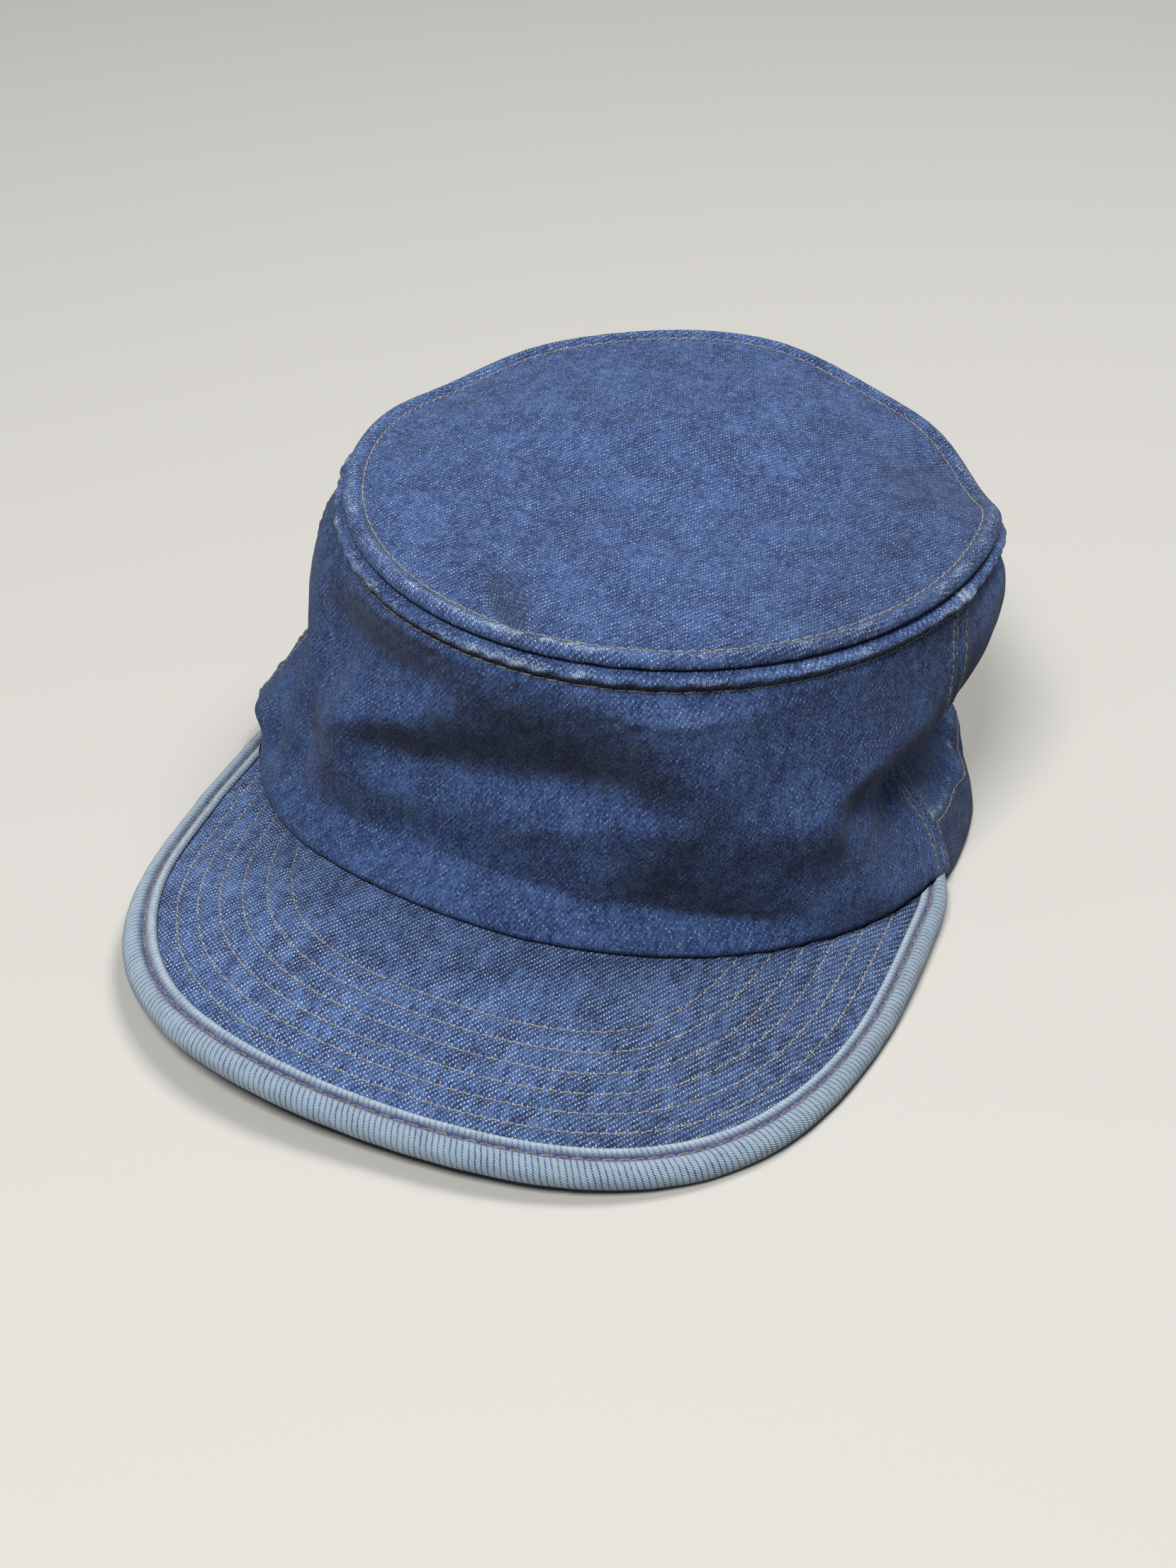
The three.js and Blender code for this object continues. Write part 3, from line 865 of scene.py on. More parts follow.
@dataclass
class Wires:
    """Adds nodes to a node tree and joins them."""

    tree: bpy.types.NodeTree

    def node(self, kind: str, **settings: object) -> bpy.types.Node:
        """A new node with some of its settings."""
        made = self.tree.nodes.new(kind)
        for name, value in settings.items():
            setattr(made, name, value)
        return made

    def join(self, source: Feed, target: Socket) -> None:
        """Feeds a socket from another one, or gives it a value."""
        if isinstance(source, bpy.types.NodeSocket):
            self.tree.links.new(source, target)
        else:
            target.default_value = source

    def math(self, operation: str, *values: Socket | float) -> Socket:
        """The result of a sum on numbers."""
        made = self.node("ShaderNodeMath", operation=operation)
        for value, target in zip(values, made.inputs):
            self.join(value, target)
        return made.outputs[0]

    def times(self, first: Socket, *others: Socket | float) -> Socket:
        """The product of two or more numbers."""
        for other in others:
            first = self.math("MULTIPLY", first, other)
        return first

    def scaled(self, value: Socket, factor: Socket | float, start: Socket | float) -> Socket:
        """A number times a factor, on top of a start."""
        return self.math("MULTIPLY_ADD", value, factor, start)

    def swing(self, start: Socket | float, value: Socket, amount: Socket | float) -> Socket:
        """A start moved up or down by how far a value from 0 to 1 lies from its middle."""
        return self.scaled(self.math("SUBTRACT", value, 0.5), amount, start)

    def vector(self, x: Socket | float, y: Socket | float) -> Socket:
        """A flat vector from two numbers."""
        made = self.node("ShaderNodeCombineXYZ")
        for value, target in zip((x, y), made.inputs):
            self.join(value, target)
        return made.outputs[0]

    def split(self, vector: Socket) -> tuple[Socket, Socket]:
        """The first two numbers of a vector."""
        made = self.node("ShaderNodeSeparateXYZ")
        self.join(vector, made.inputs[0])
        return made.outputs[0], made.outputs[1]

    def noise(self, vector: Socket, scale: float, detail: float = 2.0) -> Socket:
        """Soft noise from 0 to 1."""
        made = self.node("ShaderNodeTexNoise")
        self.join(vector, made.inputs["Vector"])
        made.inputs["Scale"].default_value = scale
        made.inputs["Detail"].default_value = detail
        return made.outputs["Fac"]

    def chance(self, x: Socket | float, y: Socket | float) -> Socket:
        """A random number from 0 to 1 for each pair of numbers."""
        made = self.node("ShaderNodeTexWhiteNoise", noise_dimensions="2D")
        self.join(self.vector(x, y), made.inputs["Vector"])
        return made.outputs["Value"]

    def hump(self, value: Socket) -> Socket:
        """Rises from 0 to 1 and falls back to 0 within each whole step of a value."""
        return self.math("SINE", self.times(self.math("FRACT", value), 3.1416))

    def ramp(self, value: Socket, low: float, high: float, start: Feed = 0.0, end: Feed = 1.0) -> Socket:
        """Goes softly from start to end as a value goes from low to high."""
        made = self.node("ShaderNodeMapRange", interpolation_type="SMOOTHSTEP")
        for item, target in zip((value, low, high, start, end), made.inputs):
            self.join(item, target)
        return made.outputs[0]

    def blend(self, share: Socket | float, low: Feed, high: Feed) -> Socket:
        """A colour between two others."""
        made = self.node("ShaderNodeMix", data_type="RGBA")
        self.join(share, made.inputs[0])
        self.join(low, made.inputs[6])
        self.join(high, made.inputs[7])
        return made.outputs[2]

    def tint(self, colour: Socket, by: Socket) -> Socket:
        """A colour multiplied by another one."""
        made = self.node("ShaderNodeMix", data_type="RGBA", blend_type="MULTIPLY")
        made.inputs[0].default_value = 1.0
        self.join(colour, made.inputs[6])
        self.join(by, made.inputs[7])
        return made.outputs[2]

    def darken(self, colour: Socket, share: Socket) -> Socket:
        """A colour with its lightness cut to a share."""
        grey = self.node("ShaderNodeCombineColor")
        for target in grey.inputs[:3]:
            self.join(share, target)
        return self.tint(colour, grey.outputs[0])

    def mask(self, name: str) -> Socket:
        """A mask that the mesh carries for each vertex."""
        return self.node("ShaderNodeAttribute", attribute_name=name).outputs["Fac"]

    def cloth(self) -> Socket:
        """The place on the flat cloth, in mm."""
        return self.node("ShaderNodeUVMap", uv_map=CLOTH_MAP).outputs["UV"]

    def use(self, group: bpy.types.NodeTree, values: Mapping[str, Feed]) -> bpy.types.Node:
        """Places a shared group and feeds its inputs by name."""
        made = self.node("ShaderNodeGroup", node_tree=group)
        for label, value in values.items():
            self.join(value, made.inputs[label])
        return made

    def surface(self, colour: Socket, roughness: float) -> bpy.types.Node:
        """The material's surface, with a colour."""
        made = self.node("ShaderNodeBsdfPrincipled")
        self.join(colour, made.inputs["Base Color"])
        made.inputs["Roughness"].default_value = roughness
        output = self.node("ShaderNodeOutputMaterial")
        self.join(made.outputs[0], output.inputs["Surface"])
        return made

    def woven(self, weave: bpy.types.Node, finish: DenimFinish | RibbedFinish) -> None:
        """The material's surface, coloured and raised by a weave."""
        surface = self.surface(weave.outputs["Colour"], finish.roughness)
        surface.inputs["Sheen Weight"].default_value = finish.sheen
        surface.inputs["Specular IOR Level"].default_value = finish.shine
        bump = self.node("ShaderNodeBump")
        bump.inputs["Distance"].default_value = finish.relief * MM
        self.join(weave.outputs["Height"], bump.inputs["Height"])
        self.join(bump.outputs["Normal"], surface.inputs["Normal"])


def new_material(name: str) -> tuple[bpy.types.Material, Wires]:
    """Starts a material with an empty node tree, and gives its wires."""
    made = bpy.data.materials.new(name)
    made.use_nodes = True
    made.node_tree.nodes.clear()
    return made, Wires(made.node_tree)


def new_group(
    name: str, numbers: Sequence[str], colours: Sequence[str]
) -> tuple[Wires, dict[str, Socket], dict[str, Socket]]:
    """Starts a node group that colours and raises a cloth from its place on the flat cloth.

    Args:
        name: the group's name.
        numbers: the name of each input that is a number.
        colours: the name of each input that is a colour.

    Returns:
        The group's wires, its inputs as sources and its outputs as targets.
    """
    tree = bpy.data.node_groups.new(name, "ShaderNodeTree")
    inputs = {"Cloth": "NodeSocketVector"}
    inputs |= {label: "NodeSocketFloat" for label in numbers}
    inputs |= {label: "NodeSocketColor" for label in colours}
    outputs = {"Colour": "NodeSocketColor", "Height": "NodeSocketFloat"}
    for label, kind in inputs.items():
        tree.interface.new_socket(name=label, in_out="INPUT", socket_type=kind)
    for label, kind in outputs.items():
        tree.interface.new_socket(name=label, in_out="OUTPUT", socket_type=kind)
    wires = Wires(tree)
    source = wires.node("NodeGroupInput")
    target = wires.node("NodeGroupOutput")
    given = {label: source.outputs[label] for label in inputs}
    wanted = {label: target.inputs[label] for label in outputs}
    return wires, given, wanted


@dataclass(frozen=True)
class YarnPlace:
    """Where a point of the cloth lies among its yarns.

    Attributes:
        u: place across the warp, in mm.
        v: place along the warp, in mm.
        along: the same in weft yarns.
        yarn: number of the warp yarn.
        pick: number of the weft yarn.
        off_yarn: how far it lies from the warp yarn's middle, in yarns.
        off_pick: the same for the weft yarn.
    """

    u: Socket
    v: Socket
    along: Socket
    yarn: Socket
    pick: Socket
    off_yarn: Socket
    off_pick: Socket


@dataclass(frozen=True)
class Twill:
    """The weave of the denim: white weft points in diagonal rows between blue warp yarns."""

    # Widths of the yarns in mm, yarns from one weft point to the next, and how far a warp yarn strays
    warp_pitch: float = 0.457
    weft_pitch: float = 0.71
    shafts: float = 3.0
    wander: float = 1.1

    # Where a weft point ends and is full, in yarns, and how much thin and full cloth shows of it
    point_edge: float = 0.56
    point_full: float = 0.24
    point_gap: tuple[float, float] = (0.45, 1.25)

    # How much lower a yarn is at its sides, and the height of its low ends
    yarn_round: float = 3.4
    float_low: float = 0.55

    # The washing's mean tone, and how far clouds, patches, warp yarns and single crossings move it
    tone: float = 0.42
    cloud: float = 0.7
    patch: float = 0.6
    streak: float = 0.4
    speck: float = 0.3

    # A rubbed place: its grain, how far it covers the blue, and how much stronger its points are
    rubbed_grain: float = 1.7
    rubbed_cover: float = 0.6
    bared: float = 1.1

    # Painted shade: what is left of red, green and blue where its mask is full
    painted_shade_tint: Colour = (0.58, 0.49, 0.42, 1.0)

    def group(self) -> bpy.types.NodeTree:
        """Builds the group that colours and raises the face of the cloth."""
        numbers = ("Wear", "Painted Shade", "Points", "Evenness", "Mottling", "Slubs", "Furrow Shade")
        wires, given, wanted = new_group("twill_face", numbers, ("Dark", "Light", "Weft"))
        place = self._place(wires, given)
        point = self._point(wires, given, place)
        height = self._height(wires, place)
        grain = wires.noise(given["Cloth"], 1.4, 1)
        tone = self._tone(wires, given, place, grain)
        blue = wires.blend(wires.ramp(tone, 0, 1), given["Dark"], given["Light"])
        rubbed = self._rubbed(wires, given, grain, height)
        blue = wires.blend(wires.times(rubbed, self.rubbed_cover), blue, given["Weft"])
        # Painted shade: darker in the furrows between the yarns, a little lighter on their tops
        blue = wires.darken(blue, wires.ramp(height, 0, 1, given["Furrow Shade"], 1.08))
        bared = wires.scaled(given["Wear"], self.bared, given["Points"])
        face = wires.blend(wires.times(point, bared), blue, given["Weft"])
        # Painted shade: the colour is tinted darker where the mask is full
        painted_shade_tint = wires.blend(given["Painted Shade"], (1.0, 1.0, 1.0, 1.0), self.painted_shade_tint)
        wires.join(wires.tint(face, painted_shade_tint), wanted["Colour"])
        wires.join(wires.scaled(point, 0.5, height), wanted["Height"])
        return wires.tree

    def _place(self, wires: Wires, given: Mapping[str, Socket]) -> YarnPlace:
        """Finds the yarns that cross at a place."""
        u, v = wires.split(given["Cloth"])
        u = wires.scaled(wires.noise(given["Cloth"], 0.16, 1), self.wander, u)
        across = wires.math("DIVIDE", u, self.warp_pitch)
        along = wires.math("DIVIDE", v, self.weft_pitch)
        numbers = [wires.math("FLOOR", value) for value in (across, along)]
        offs = [wires.math("SUBTRACT", wires.math("FRACT", value), 0.5) for value in (across, along)]
        return YarnPlace(u, v, along, *numbers, *offs)

    def _point(self, wires: Wires, given: Mapping[str, Socket], place: YarnPlace) -> Socket:
        """How strongly a white weft point shows."""
        shift = wires.math("SUBTRACT", place.yarn, place.pick)
        row = wires.math("FLOORED_MODULO", shift, self.shafts)
        is_point = wires.math("LESS_THAN", row, 0.5)
        far = wires.scaled(place.off_yarn, place.off_yarn, wires.times(place.off_pick, place.off_pick))
        near = wires.ramp(wires.math("SQRT", far), self.point_edge, self.point_full)
        luck = wires.chance(place.yarn, place.pick)
        rare = wires.math("POWER", luck, 3.0)
        even = wires.scaled(luck, 0.4, 0.6)
        strength = wires.scaled(given["Evenness"], wires.math("SUBTRACT", even, rare), rare)
        shown = wires.ramp(wires.noise(given["Cloth"], 0.28, 2), 0.3, 0.7, *self.point_gap)
        return wires.times(near, is_point, wires.times(strength, shown))

    def _height(self, wires: Wires, place: YarnPlace) -> Socket:
        """Height of the warp yarns, from 0 to 1: each is round and dips under the weft."""
        round_yarn = wires.scaled(wires.times(place.off_yarn, place.off_yarn), -self.yarn_round, 1)
        phase = wires.math("DIVIDE", wires.math("SUBTRACT", place.along, place.yarn), self.shafts)
        return wires.times(round_yarn, wires.scaled(wires.hump(phase), 1 - self.float_low, self.float_low))

    def _tone(self, wires: Wires, given: Mapping[str, Socket], place: YarnPlace, grain: Socket) -> Socket:
        """How far the blue has washed out, from the clouds down to single crossings."""
        cloth = given["Cloth"]
        yarn_line = wires.vector(wires.times(place.yarn, 7.31), wires.times(place.v, 0.22))
        slub_line = wires.vector(wires.times(place.u, 0.42), wires.times(place.v, 0.075))
        tone = wires.swing(self.tone, wires.noise(cloth, 0.07, 2), self.cloud)
        tone = wires.swing(tone, wires.noise(cloth, 0.4, 2), self.patch)
        tone = wires.swing(tone, grain, given["Mottling"])
        tone = wires.swing(tone, wires.noise(slub_line, 1, 2), given["Slubs"])
        tone = wires.swing(tone, wires.noise(yarn_line, 1), self.streak)
        return wires.swing(tone, wires.chance(place.pick, place.yarn), self.speck)

    def _rubbed(
        self, wires: Wires, given: Mapping[str, Socket], grain: Socket, height: Socket
    ) -> Socket:
        """How bare a place is rubbed: in grains, and on the yarns before the furrows."""
        rubbed = wires.swing(wires.times(given["Wear"], 1.7), grain, self.rubbed_grain)
        rubbed = wires.swing(rubbed, height, 0.5)
        return wires.times(wires.ramp(rubbed, 0.4, 1.5), wires.ramp(given["Wear"], 0.02, 0.25))


@dataclass(frozen=True)
class Rib:
    """The back of the same weave, rolled over the peak's edge: narrow columns of slanting pale yarn."""

    # Widths of a column and of a yarn, in mm
    column: float = 1.3
    yarn: float = 0.62

    # How far a column leans and strays, and how many yarns a yarn climbs across it
    lean: float = -0.2
    wander: float = 0.5
    slant: float = 1.25

    # The height left between two columns, and how far patches and single yarns move the tone
    between: float = 0.55
    patch: float = 0.7
    speck: float = 0.22

    # The tones at which the cloth is deep blue and fully pale
    tones: tuple[float, float] = (0.05, 0.85)

    def group(self) -> bpy.types.NodeTree:
        """Builds the group that colours and raises the ribbed cloth."""
        colours = ("Pale", "Deep", "Blue", "White")
        wires, given, wanted = new_group("ribbed_back", ("Wear", "Groove And Painted Shade"), colours)
        u, v = wires.split(given["Cloth"])
        leaning = wires.scaled(v, self.lean, u)
        leaning = wires.scaled(wires.noise(given["Cloth"], 0.3, 1), self.wander, leaning)
        place = wires.math("DIVIDE", leaning, self.column)
        column = wires.math("FLOOR", place)
        within = wires.math("FRACT", place)
        climb = wires.scaled(within, -self.slant, wires.math("DIVIDE", v, self.yarn))
        climb = wires.math("ADD", climb, wires.chance(column, 3.0))
        rise = wires.hump(climb)
        off = wires.math("ABSOLUTE", wires.math("SUBTRACT", within, 0.5))
        bulge = wires.math("MAXIMUM", wires.ramp(off, 0.5, 0.3), wires.times(rise, self.between))
        height = wires.times(bulge, wires.scaled(rise, 0.5, 0.5))
        tone = wires.swing(height, wires.noise(given["Cloth"], 0.25, 2), self.patch)
        tone = wires.swing(tone, wires.chance(column, wires.math("FLOOR", climb)), self.speck)
        cloth = wires.blend(wires.ramp(tone, *self.tones), given["Deep"], given["Pale"])
        # The groove's blue, and painted shade on the underside
        cloth = wires.blend(given["Groove And Painted Shade"], cloth, given["Blue"])
        wires.join(wires.blend(given["Wear"], cloth, given["White"]), wanted["Colour"])
        wires.join(height, wanted["Height"])
        return wires.tree


@dataclass(frozen=True)
class DenimFinish:
    """The blue face of washed denim."""

    name: str

    # The deepest blue between the yarns, the washed blue, and the weft points and worn places
    dark: Colour = srgb(21, 32, 63)
    light: Colour = srgb(56, 79, 120)
    weft: Colour = srgb(138, 152, 167)

    # How strongly the weft points show, and how alike they are
    points: float = 0.75
    evenness: float = 0.3

    # How uneven the washing is, how strongly thick yarns show, and how light the painted shade leaves the
    # furrows
    mottling: float = 1.1
    slubs: float = 0.4
    furrow_shade: float = 0.5

    # The weave's height in mm, and how dull, fuzzy and shiny the cloth is
    relief: float = 0.16
    roughness: float = 0.88
    sheen: float = 0.02
    shine: float = 0.12

    def material(self, weave: bpy.types.NodeTree) -> bpy.types.Material:
        """Builds the material around the shared weave."""
        made, wires = new_material(self.name)
        values = {
            "Cloth": wires.cloth(),
            "Wear": wires.mask(WEAR_AND_PLY_SHADE),
            "Painted Shade": wires.mask(PAINTED_SHADE_AND_MARKS),
            "Dark": self.dark,
            "Light": self.light,
            "Weft": self.weft,
            "Points": self.points,
            "Evenness": self.evenness,
            "Mottling": self.mottling,
            "Slubs": self.slubs,
            "Furrow Shade": self.furrow_shade,
        }
        wires.woven(wires.use(weave, values), self)
        return made


@dataclass(frozen=True)
class RibbedFinish:
    """The pale reverse of the denim, rolled over the edge of the peak."""

    name: str

    # The tops of the yarns, the gaps between them, the blue of the sewn groove, also used for painted shade
    # on the underside, and the worn ridge
    pale: Colour = srgb(111, 126, 138)
    deep: Colour = srgb(28, 42, 72)
    blue: Colour = srgb(27, 41, 78)
    white: Colour = srgb(134, 145, 154)

    # The ribs' height in mm, and how dull, fuzzy and shiny the cloth is
    relief: float = 0.3
    roughness: float = 0.9
    sheen: float = 0.15
    shine: float = 0.12

    def material(self, weave: bpy.types.NodeTree) -> bpy.types.Material:
        """Builds the material around the ribbed weave."""
        made, wires = new_material(self.name)
        values = {
            "Cloth": wires.cloth(),
            "Wear": wires.mask(WEAR_AND_PLY_SHADE),
            "Groove And Painted Shade": wires.mask(PAINTED_SHADE_AND_MARKS),
            "Pale": self.pale,
            "Deep": self.deep,
            "Blue": self.blue,
            "White": self.white,
        }
        wires.woven(wires.use(weave, values), self)
        return made


@dataclass(frozen=True)
class ThreadFinish:
    """Twisted sewing thread: lighter on the tops of its plies, painted shade in the grooves between them, and
    pale ends.
    """

    name: str
    light: Colour = srgb(110, 103, 87)
    dark: Colour = srgb(60, 55, 46)
    pale: Colour = srgb(150, 158, 166)
    roughness: float = 0.7

    def material(self) -> bpy.types.Material:
        """Builds the material, with the two plies showing along the thread through painted shade between
        them.
        """
        made, wires = new_material(self.name)
        tone = wires.swing(wires.mask(WEAR_AND_PLY_SHADE), wires.noise(wires.cloth(), 3.0, 2), 0.8)
        colour = wires.blend(wires.ramp(tone, 0, 1), self.dark, self.light)
        wires.surface(wires.blend(wires.mask(PAINTED_SHADE_AND_MARKS), colour, self.pale), self.roughness)
        return made


@dataclass(frozen=True)
class FloorFinish:
    """The plain pale floor."""

    name: str = "pale_floor"
    colour: Colour = srgb(141, 139, 134)
    roughness: float = 0.8

    def material(self) -> bpy.types.Material:
        """Builds the material."""
        made = bpy.data.materials.new(self.name)
        made.use_nodes = True
        surface = made.node_tree.nodes["Principled BSDF"]
        surface.inputs["Base Color"].default_value = self.colour
        surface.inputs["Roughness"].default_value = self.roughness
        return made


@dataclass
class Finishes:
    """All the materials of the cap, built once."""

    top: bpy.types.Material = field(init=False)
    wall: bpy.types.Material = field(init=False)
    peak: bpy.types.Material = field(init=False)
    reverse: bpy.types.Material = field(init=False)
    binding: bpy.types.Material = field(init=False)
    thread: bpy.types.Material = field(init=False)
    brown_thread: bpy.types.Material = field(init=False)

    def __post_init__(self) -> None:
        """Builds the shared weaves and the materials that use them."""
        twill = Twill().group()
        top = DenimFinish("denim_top", points=0.66, furrow_shade=0.66, relief=0.13)
        wall = DenimFinish("denim_wall", points=0.5, evenness=0.15, furrow_shade=0.72, relief=0.09)
        peak = DenimFinish("denim_peak", light=srgb(62, 87, 130), points=1.0, evenness=0.6, slubs=0.9)
        peak = replace(peak, furrow_shade=0.55)
        reverse = DenimFinish("denim_reverse", dark=srgb(75, 87, 108), light=srgb(122, 131, 143))
        reverse = replace(reverse, weft=srgb(150, 154, 161))
        self.top = top.material(twill)
        self.wall = wall.material(twill)
        self.peak = peak.material(twill)
        self.reverse = reverse.material(twill)
        self.binding = RibbedFinish("denim_binding").material(Rib().group())
        brown = ThreadFinish("thread_brown", light=srgb(103, 85, 69), dark=srgb(50, 40, 32))
        self.thread = ThreadFinish("thread_tan").material()
        self.brown_thread = brown.material()


@dataclass(frozen=True)
class Seamline:
    """A line on the surface that a row of stitches follows.

    Attributes:
        points: places along it, in mm.
        normals: the surface's outward direction at each place.
    """

    points: Array
    normals: Array


@dataclass
class Stitching:
    """Rows of lockstitch made of short twisted threads that dip into the cloth at both ends."""

    # From stitch to stitch, the part that shows, and half the thread's thickness
    pitch: float = 3.05
    length: float = 2.85
    radius: float = 0.21

    # The thread's middle above the cloth, its ends below the cloth and beside the line
    lift: float = 0.12
    sink: float = 0.26
    skew: float = 0.12

    # Twists for each mm, how far the plies stand out, and the share of the thread left at its ends
    plies: float = 0.9
    ply_depth: float = 0.16
    tip_area: float = 0.04

    # How strongly the white weft shows at the ends, and where along half a stitch it starts
    pale_ends: float = 0.3
    pale_from: tuple[float, float] = (0.62, 0.8)

    # How unlike the stitches are in tone, start, length and skew
    tone_spread: float = 0.2
    start_spread: float = 0.06
    length_spread: float = 0.08
    skew_spread: float = 0.04

    # Rings of vertices along a stitch, and vertices of a ring
    rings: int = 9
    corners: int = 8

    def skin(self, lines: Sequence[Seamline], seed: int) -> Skin:
        """Lays stitches along lines.

        Args:
            lines: the lines to sew.
            seed: which small differences the stitches have.

        Returns:
            The skin of all the stitches, as loose closed solids.
        """
        chance = np.random.default_rng(seed)
        stations = [self._stations(line, chance) for line in lines]
        centre = np.concatenate([part[0] for part in stations])
        normal = np.concatenate([part[1] for part in stations])
        wave = self._wave()
        points = self._points(centre, normal, wave)
        count, size = points.shape[:2]
        first = (np.arange(count) * size)[:, None, None]
        quads, tips = self._faces(size)
        faces = [(quads[None] + first).reshape(-1, 4), (tips[None] + first).reshape(-1, 3)]
        flat = points.reshape(-1, 3)
        cloth = np.stack([flat[:, 0] + flat[:, 2], flat[:, 1]], -1)
        # Painted shade on the thread: lighter on the ply tops, darker between the plies and at the tips
        light = np.append(0.5 + 0.25 * wave, [0.25, 0.25])
        spread = chance.uniform(-self.tone_spread, self.tone_spread, (count, 1))
        wear = np.clip(light[None] + spread, 0, 1)
        return Skin(flat, faces, [Side.OUTSIDE] * 2, cloth, wear.ravel(), np.tile(self._pale(), count))

    def _wave(self) -> Array:
        """How far the two plies stand out at each vertex of the rings, from -1 to 1."""
        turn = 2 * np.pi * np.arange(self.corners) / self.corners
        twist = 2 * np.pi * self.plies * self.length * np.linspace(0, 1, self.rings)
        return np.cos(2 * turn[None] - twist[:, None])

    def _points(self, centre: Array, normal: Array, wave: Array) -> Array:
        """The vertices of each stitch: those of its rings, then its two tips."""
        tangent = unit(np.gradient(centre, axis=1))
        beside = unit(np.cross(normal, tangent))
        upward = np.cross(tangent, beside)
        taper = np.sqrt(np.clip(1 - np.linspace(-1, 1, self.rings) ** 6, self.tip_area, 1))
        radius = (self.radius * taper[:, None] * (1 + self.ply_depth * wave))[None, :, :, None]
        turn = (2 * np.pi * np.arange(self.corners) / self.corners)[None, None, :, None]
        outward = np.cos(turn) * beside[:, :, None] + np.sin(turn) * upward[:, :, None]
        rings = (centre[:, :, None] + radius * outward).reshape(len(centre), -1, 3)
        return np.concatenate([rings, centre[:, :1], centre[:, -1:]], axis=1)

    def _pale(self) -> Array:
        """How strongly the weft shows at each vertex of a stitch."""
        ends = self.pale_ends * smooth(np.abs(np.linspace(-1, 1, self.rings)), *self.pale_from)
        return np.append(np.repeat(ends, self.corners), [self.pale_ends] * 2)

    def _faces(self, size: int) -> tuple[Array, Array]:
        """The faces of one stitch: its sides and its two tips."""
        turn = np.arange(self.corners)
        following = (turn + 1) % self.corners
        end = (self.rings - 1) * self.corners
        tips = [
            np.stack([following, turn, np.full(self.corners, size - 2)], 1),
            np.stack([end + turn, end + following, np.full(self.corners, size - 1)], 1),
        ]
        return ring_faces(self.rings, self.corners).reshape(-1, 4), np.vstack(tips)

    def _stations(self, line: Seamline, chance: np.random.Generator) -> tuple[Array, Array]:
        """Middle line and normals of each stitch along one line."""
        steps = np.linalg.norm(np.diff(line.points, axis=0), axis=1)
        lengths = np.append(0, np.cumsum(steps))
        count = max(int(lengths[-1] // self.pitch), 1)
        pitch = lengths[-1] / count
        start = np.arange(count) * pitch + (pitch - self.length) / 2
        start = start + chance.normal(0, self.start_spread, count)
        along = np.linspace(0, 1, self.rings)
        length = self.length + chance.normal(0, self.length_spread, (count, 1))
        reach = start[:, None] + along[None] * length
        place = np.stack([np.interp(reach, lengths, line.points[:, k]) for k in range(3)], -1)
        normal = unit(np.stack([np.interp(reach, lengths, line.normals[:, k]) for k in range(3)], -1))
        tangent = unit(np.gradient(place, axis=1))
        beside = unit(np.cross(normal, tangent))
        bow = np.sin(np.pi * along)
        height = mix(-self.sink, self.lift, np.sqrt(bow))
        skew = self.skew + chance.normal(0, self.skew_spread, count)
        slant = skew[:, None] * (2 * along[None] - 1)
        return place + normal * height[None, :, None] + beside * slant[..., None], normal


@dataclass(frozen=True)
class Panel:
    """One piece of the side wall.

    Attributes:
        node: the solid that it dresses.
        behind: whether it lies behind the side seams, not in front of them.
        low: rise of its lower edge.
        high: rise of its upper edge.
        flat: its flat size, in metres; not used.
    """

    node: str
    behind: bool
    low: float
    high: float
    flat: tuple[float, float]


